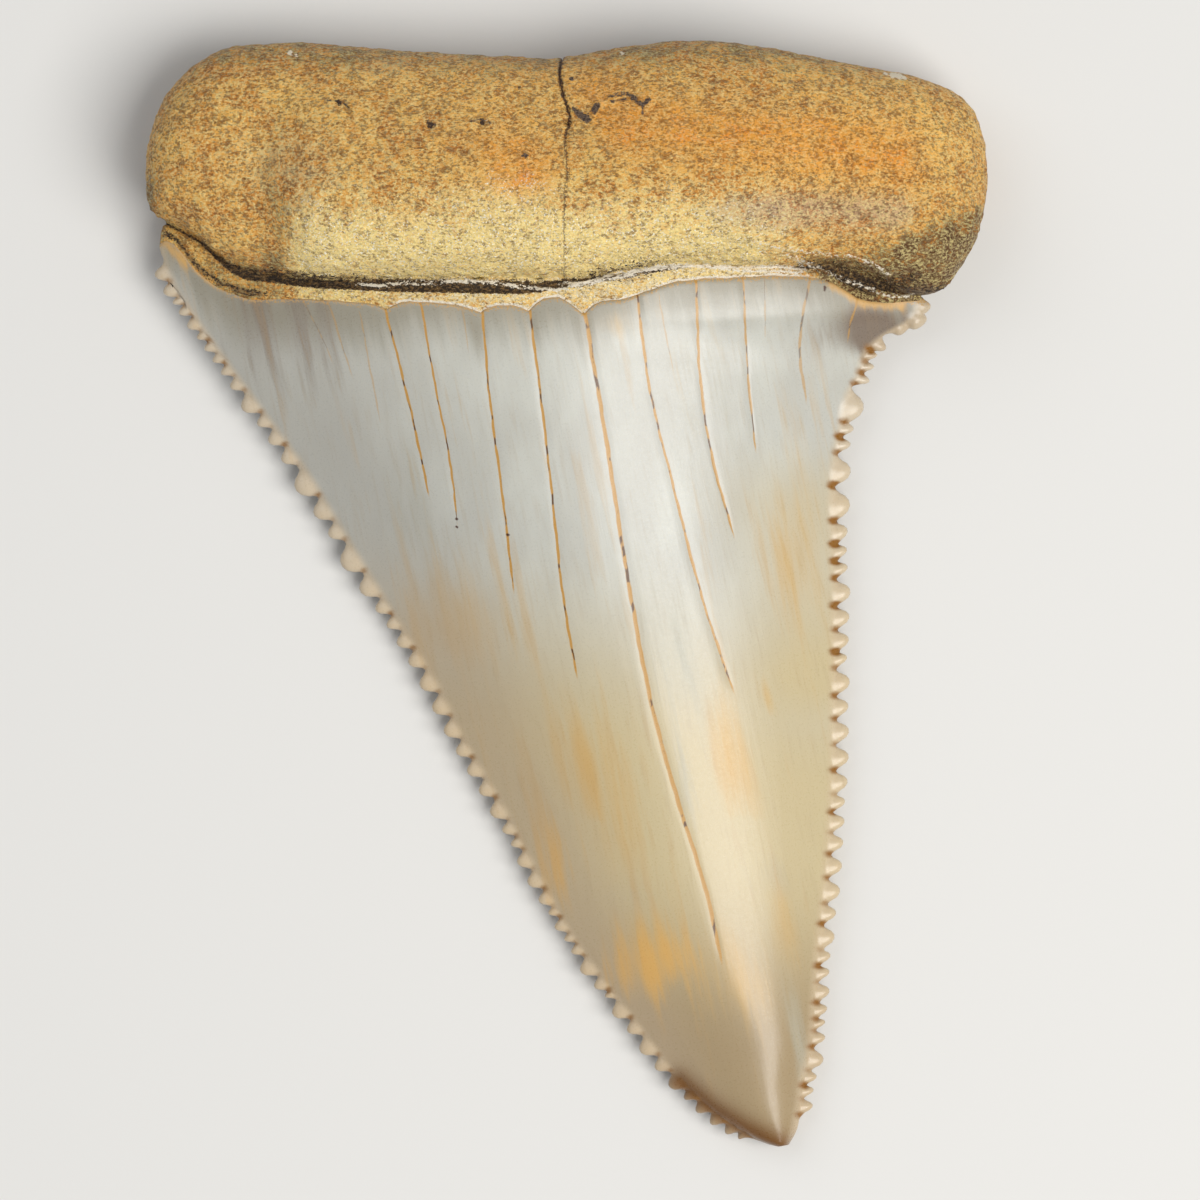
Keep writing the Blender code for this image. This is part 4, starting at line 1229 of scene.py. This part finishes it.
def enamel_material():
    """Glossy translucent enamel, blue-grey above and cream below, with ochre splits and notches, and painted
    shade under the root's border and its right end.
    """
    shader = Shader("enamel")
    flow = flow_place(shader)
    streak = shader.noise(1.0, 4.0, 0.6, place=flow)
    thread = shader.noise(4.0, 2.0, 0.5, place=flow)
    cloud = shader.noise(0.30, 3.0, 0.5, (1.0, 0.45, 1.0))
    fine = shader.noise(8.0, 2.0, 0.6)
    speck = shader.noise(2.4, 2.0, 0.5, (1.0, 0.35, 1.0))
    cream = shader.mark("enamel_cream")
    from_border = shader.mark("enamel_below")

    def streaky(name, reach, low, high):
        return shader.ramp(shader.plus(shader.mark(name), shader.swing(streak, reach)), low, high)

    shader.colour = shader.mix(shader.ramp(cloud, 0.35, 0.65), ENAMEL_DULL, ENAMEL_CLEAR)
    shader.lay(cream, ENAMEL_CREAM)
    shader.lay(shader.times(shader.mark("enamel_tip"), 0.85), TIP_TAN)
    shader.lay(streaky("enamel_grey", 0.25, 0.15, 0.95), ENAMEL_GREY)
    shader.lay(streaky("enamel_amber", 0.20, 0.10, 0.95), AMBER)
    shader.lay(shader.times(shader.mark("enamel_flank"), 0.70), shader.mix(cream, FLANK_GREY, FLANK_TAN))
    # painted shade and reflection under the root's border, on greyer enamel
    below = shader.plus(from_border, shader.swing(streak, 0.7))
    shader.lay(shader.ramp(below, 3.4, 0.2, 0.0, 0.85), BORDER_SHADE_GREY)
    # smoke tint with painted shade
    shader.lay(shader.times(streaky("enamel_smoke_shade", 0.25, 0.15, 1.0), 0.90), SMOKE_SHADE)
    shader.lay(shader.ramp(shader.mark("enamel_rim"), 0.25, 1.0, 0.0, 0.7), RIM_CREAM)
    shader.lay(shader.ramp(thread, 0.50, 0.75, 0.0, 0.14), THREAD_BROWN)
    shader.lay(shader.times(streaky("enamel_ochre", 0.35, 0.15, 1.0), 0.85), OCHRE)
    lip = shader.plus(from_border, shader.swing(fine, 0.2))
    shader.lay(shader.ramp(lip, 0.20, 0.04, 0.0, 0.85), LIP_OCHRE)
    shader.lay(shader.mark("tip_stain"), TIP_BROWN)
    shader.lay(shader.ramp(shader.mark("notch_stain"), 0.12, 0.75), NOTCH_BROWN)
    distance = shader.plus(shader.mark("split_distance"), shader.swing(speck, 0.02))
    width = shader.mark("split_width")
    split = shader.ramp(distance, shader.times(width, 1.3), shader.times(width, 0.6))
    split_filling = shader.mix(shader.ramp(speck, 0.55, 0.63), SPLIT_OCHRE, SPLIT_BROWN)
    shader.lay(shader.times(split, shader.mark("split_tone")), split_filling)
    shader.lay(shader.ramp(shader.mark("dot_depth"), -0.06, 0.03), DOT_BROWN)

    shader.set("Base Color", shader.colour)
    shader.set("Roughness", shader.ramp(fine, NOISE_LOW, NOISE_HIGH, 0.26, 0.36))
    shader.set("Specular IOR Level", 0.5)
    shader.set("Subsurface Weight", 0.18)
    shader.set("Subsurface Radius", (0.8, 0.7, 0.55))
    shader.set("Subsurface Scale", 0.9 * MM)
    shader.set("Normal", shader.relief(streak, 0.02))


def make_floor():
    """A wide plain floor under the tooth."""
    half = 1.5
    mesh = bpy.data.meshes.new("floor")
    corners = [(-half, -half, 0), (half, -half, 0), (half, half, 0), (-half, half, 0)]
    mesh.from_pydata(corners, [], [(0, 1, 2, 3)])
    floor = bpy.data.objects.new("floor", mesh)
    bpy.context.scene.collection.objects.link(floor)
    material = bpy.data.materials.new("pale_floor")
    material.use_nodes = True
    shader = material.node_tree.nodes["Principled BSDF"]
    shader.inputs["Base Color"].default_value = linear(*FLOOR_PALE)
    shader.inputs["Roughness"].default_value = 0.9
    mesh.materials.append(material)


def add_light(name, place, size, power, colour):
    """A soft square light that looks at the tooth."""
    data = bpy.data.lights.new(name, "AREA")
    data.size = size
    data.energy = power
    data.color = colour
    light = bpy.data.objects.new(name, data)
    light.location = place
    light.rotation_euler = (-Vector(place)).to_track_quat("-Z", "Y").to_euler()
    bpy.context.scene.collection.objects.link(light)


def make_lights():
    """Soft studio light: a large key over the right side, towards the tip, and a weak fill."""
    add_light("key_light", (0.27, -0.14, 0.50), 0.40, 3.6, (1.0, 0.98, 0.95))
    add_light("fill_light", (-0.30, 0.25, 0.45), 0.50, 0.80, (0.95, 0.97, 1.0))
    world = bpy.data.worlds.new("soft_room")
    world.use_nodes = True
    background = world.node_tree.nodes["Background"]
    background.inputs["Color"].default_value = (0.80, 0.82, 0.85, 1.0)
    background.inputs["Strength"].default_value = 0.35
    bpy.context.scene.world = world


def make_camera():
    """The photograph's view: straight down on the inner face, with the root at the top."""
    pixels_per_mm = 17.0
    image_pixels = 1200
    origin_pixel = (567.5, 596.5)
    focus_height = 3.0
    data = bpy.data.cameras.new("camera")
    data.lens = 200.0
    data.sensor_width = 36.0
    data.sensor_fit = "HORIZONTAL"
    distance = image_pixels / pixels_per_mm * data.lens / data.sensor_width
    x = (image_pixels / 2 - origin_pixel[0]) / pixels_per_mm
    y = (origin_pixel[1] - image_pixels / 2) / pixels_per_mm
    camera = bpy.data.objects.new("camera", data)
    camera.location = Vector((x, y, distance + focus_height)) * MM
    bpy.context.scene.collection.objects.link(camera)
    bpy.context.scene.camera = camera


def finish_slots(mesh):
    """Give the lobes the enamel's own material, and the neck the root's."""
    slots = np.empty(len(mesh.polygons), dtype=np.int32)
    mesh.polygons.foreach_get("material_index", slots)
    slots[slots == LOBE_SLOT] = ENAMEL_SLOT
    slots[slots == NECK_SLOT] = ROOT_SLOT
    for slot in (NECK_SLOT, LOBE_SLOT):
        mesh.materials.pop(index=slot)
        bpy.data.materials.remove(bpy.data.materials[SLOT_MATERIALS[slot]])
    mesh.polygons.foreach_set("material_index", slots)


def main():
    make_camera()
    make_lights()
    make_floor()
    root_material()
    enamel_material()
    for slot in (LOBE_SLOT, NECK_SLOT):
        bpy.data.materials.new(SLOT_MATERIALS[slot])
    tooth, notches = tooth_body()
    surface = Surface(tooth.data)
    blend_seams(surface)
    relief_root(surface)
    keep_in_box(surface, cad_box)
    surface.write()
    store_root_marks(surface)
    store_enamel_marks(surface, notches)
    finish_slots(tooth.data)
    tooth.data.shade_smooth()
    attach(tooth, "root")
    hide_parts("shark_tooth")
    bpy.context.scene.view_settings.view_transform = "Standard"


main()
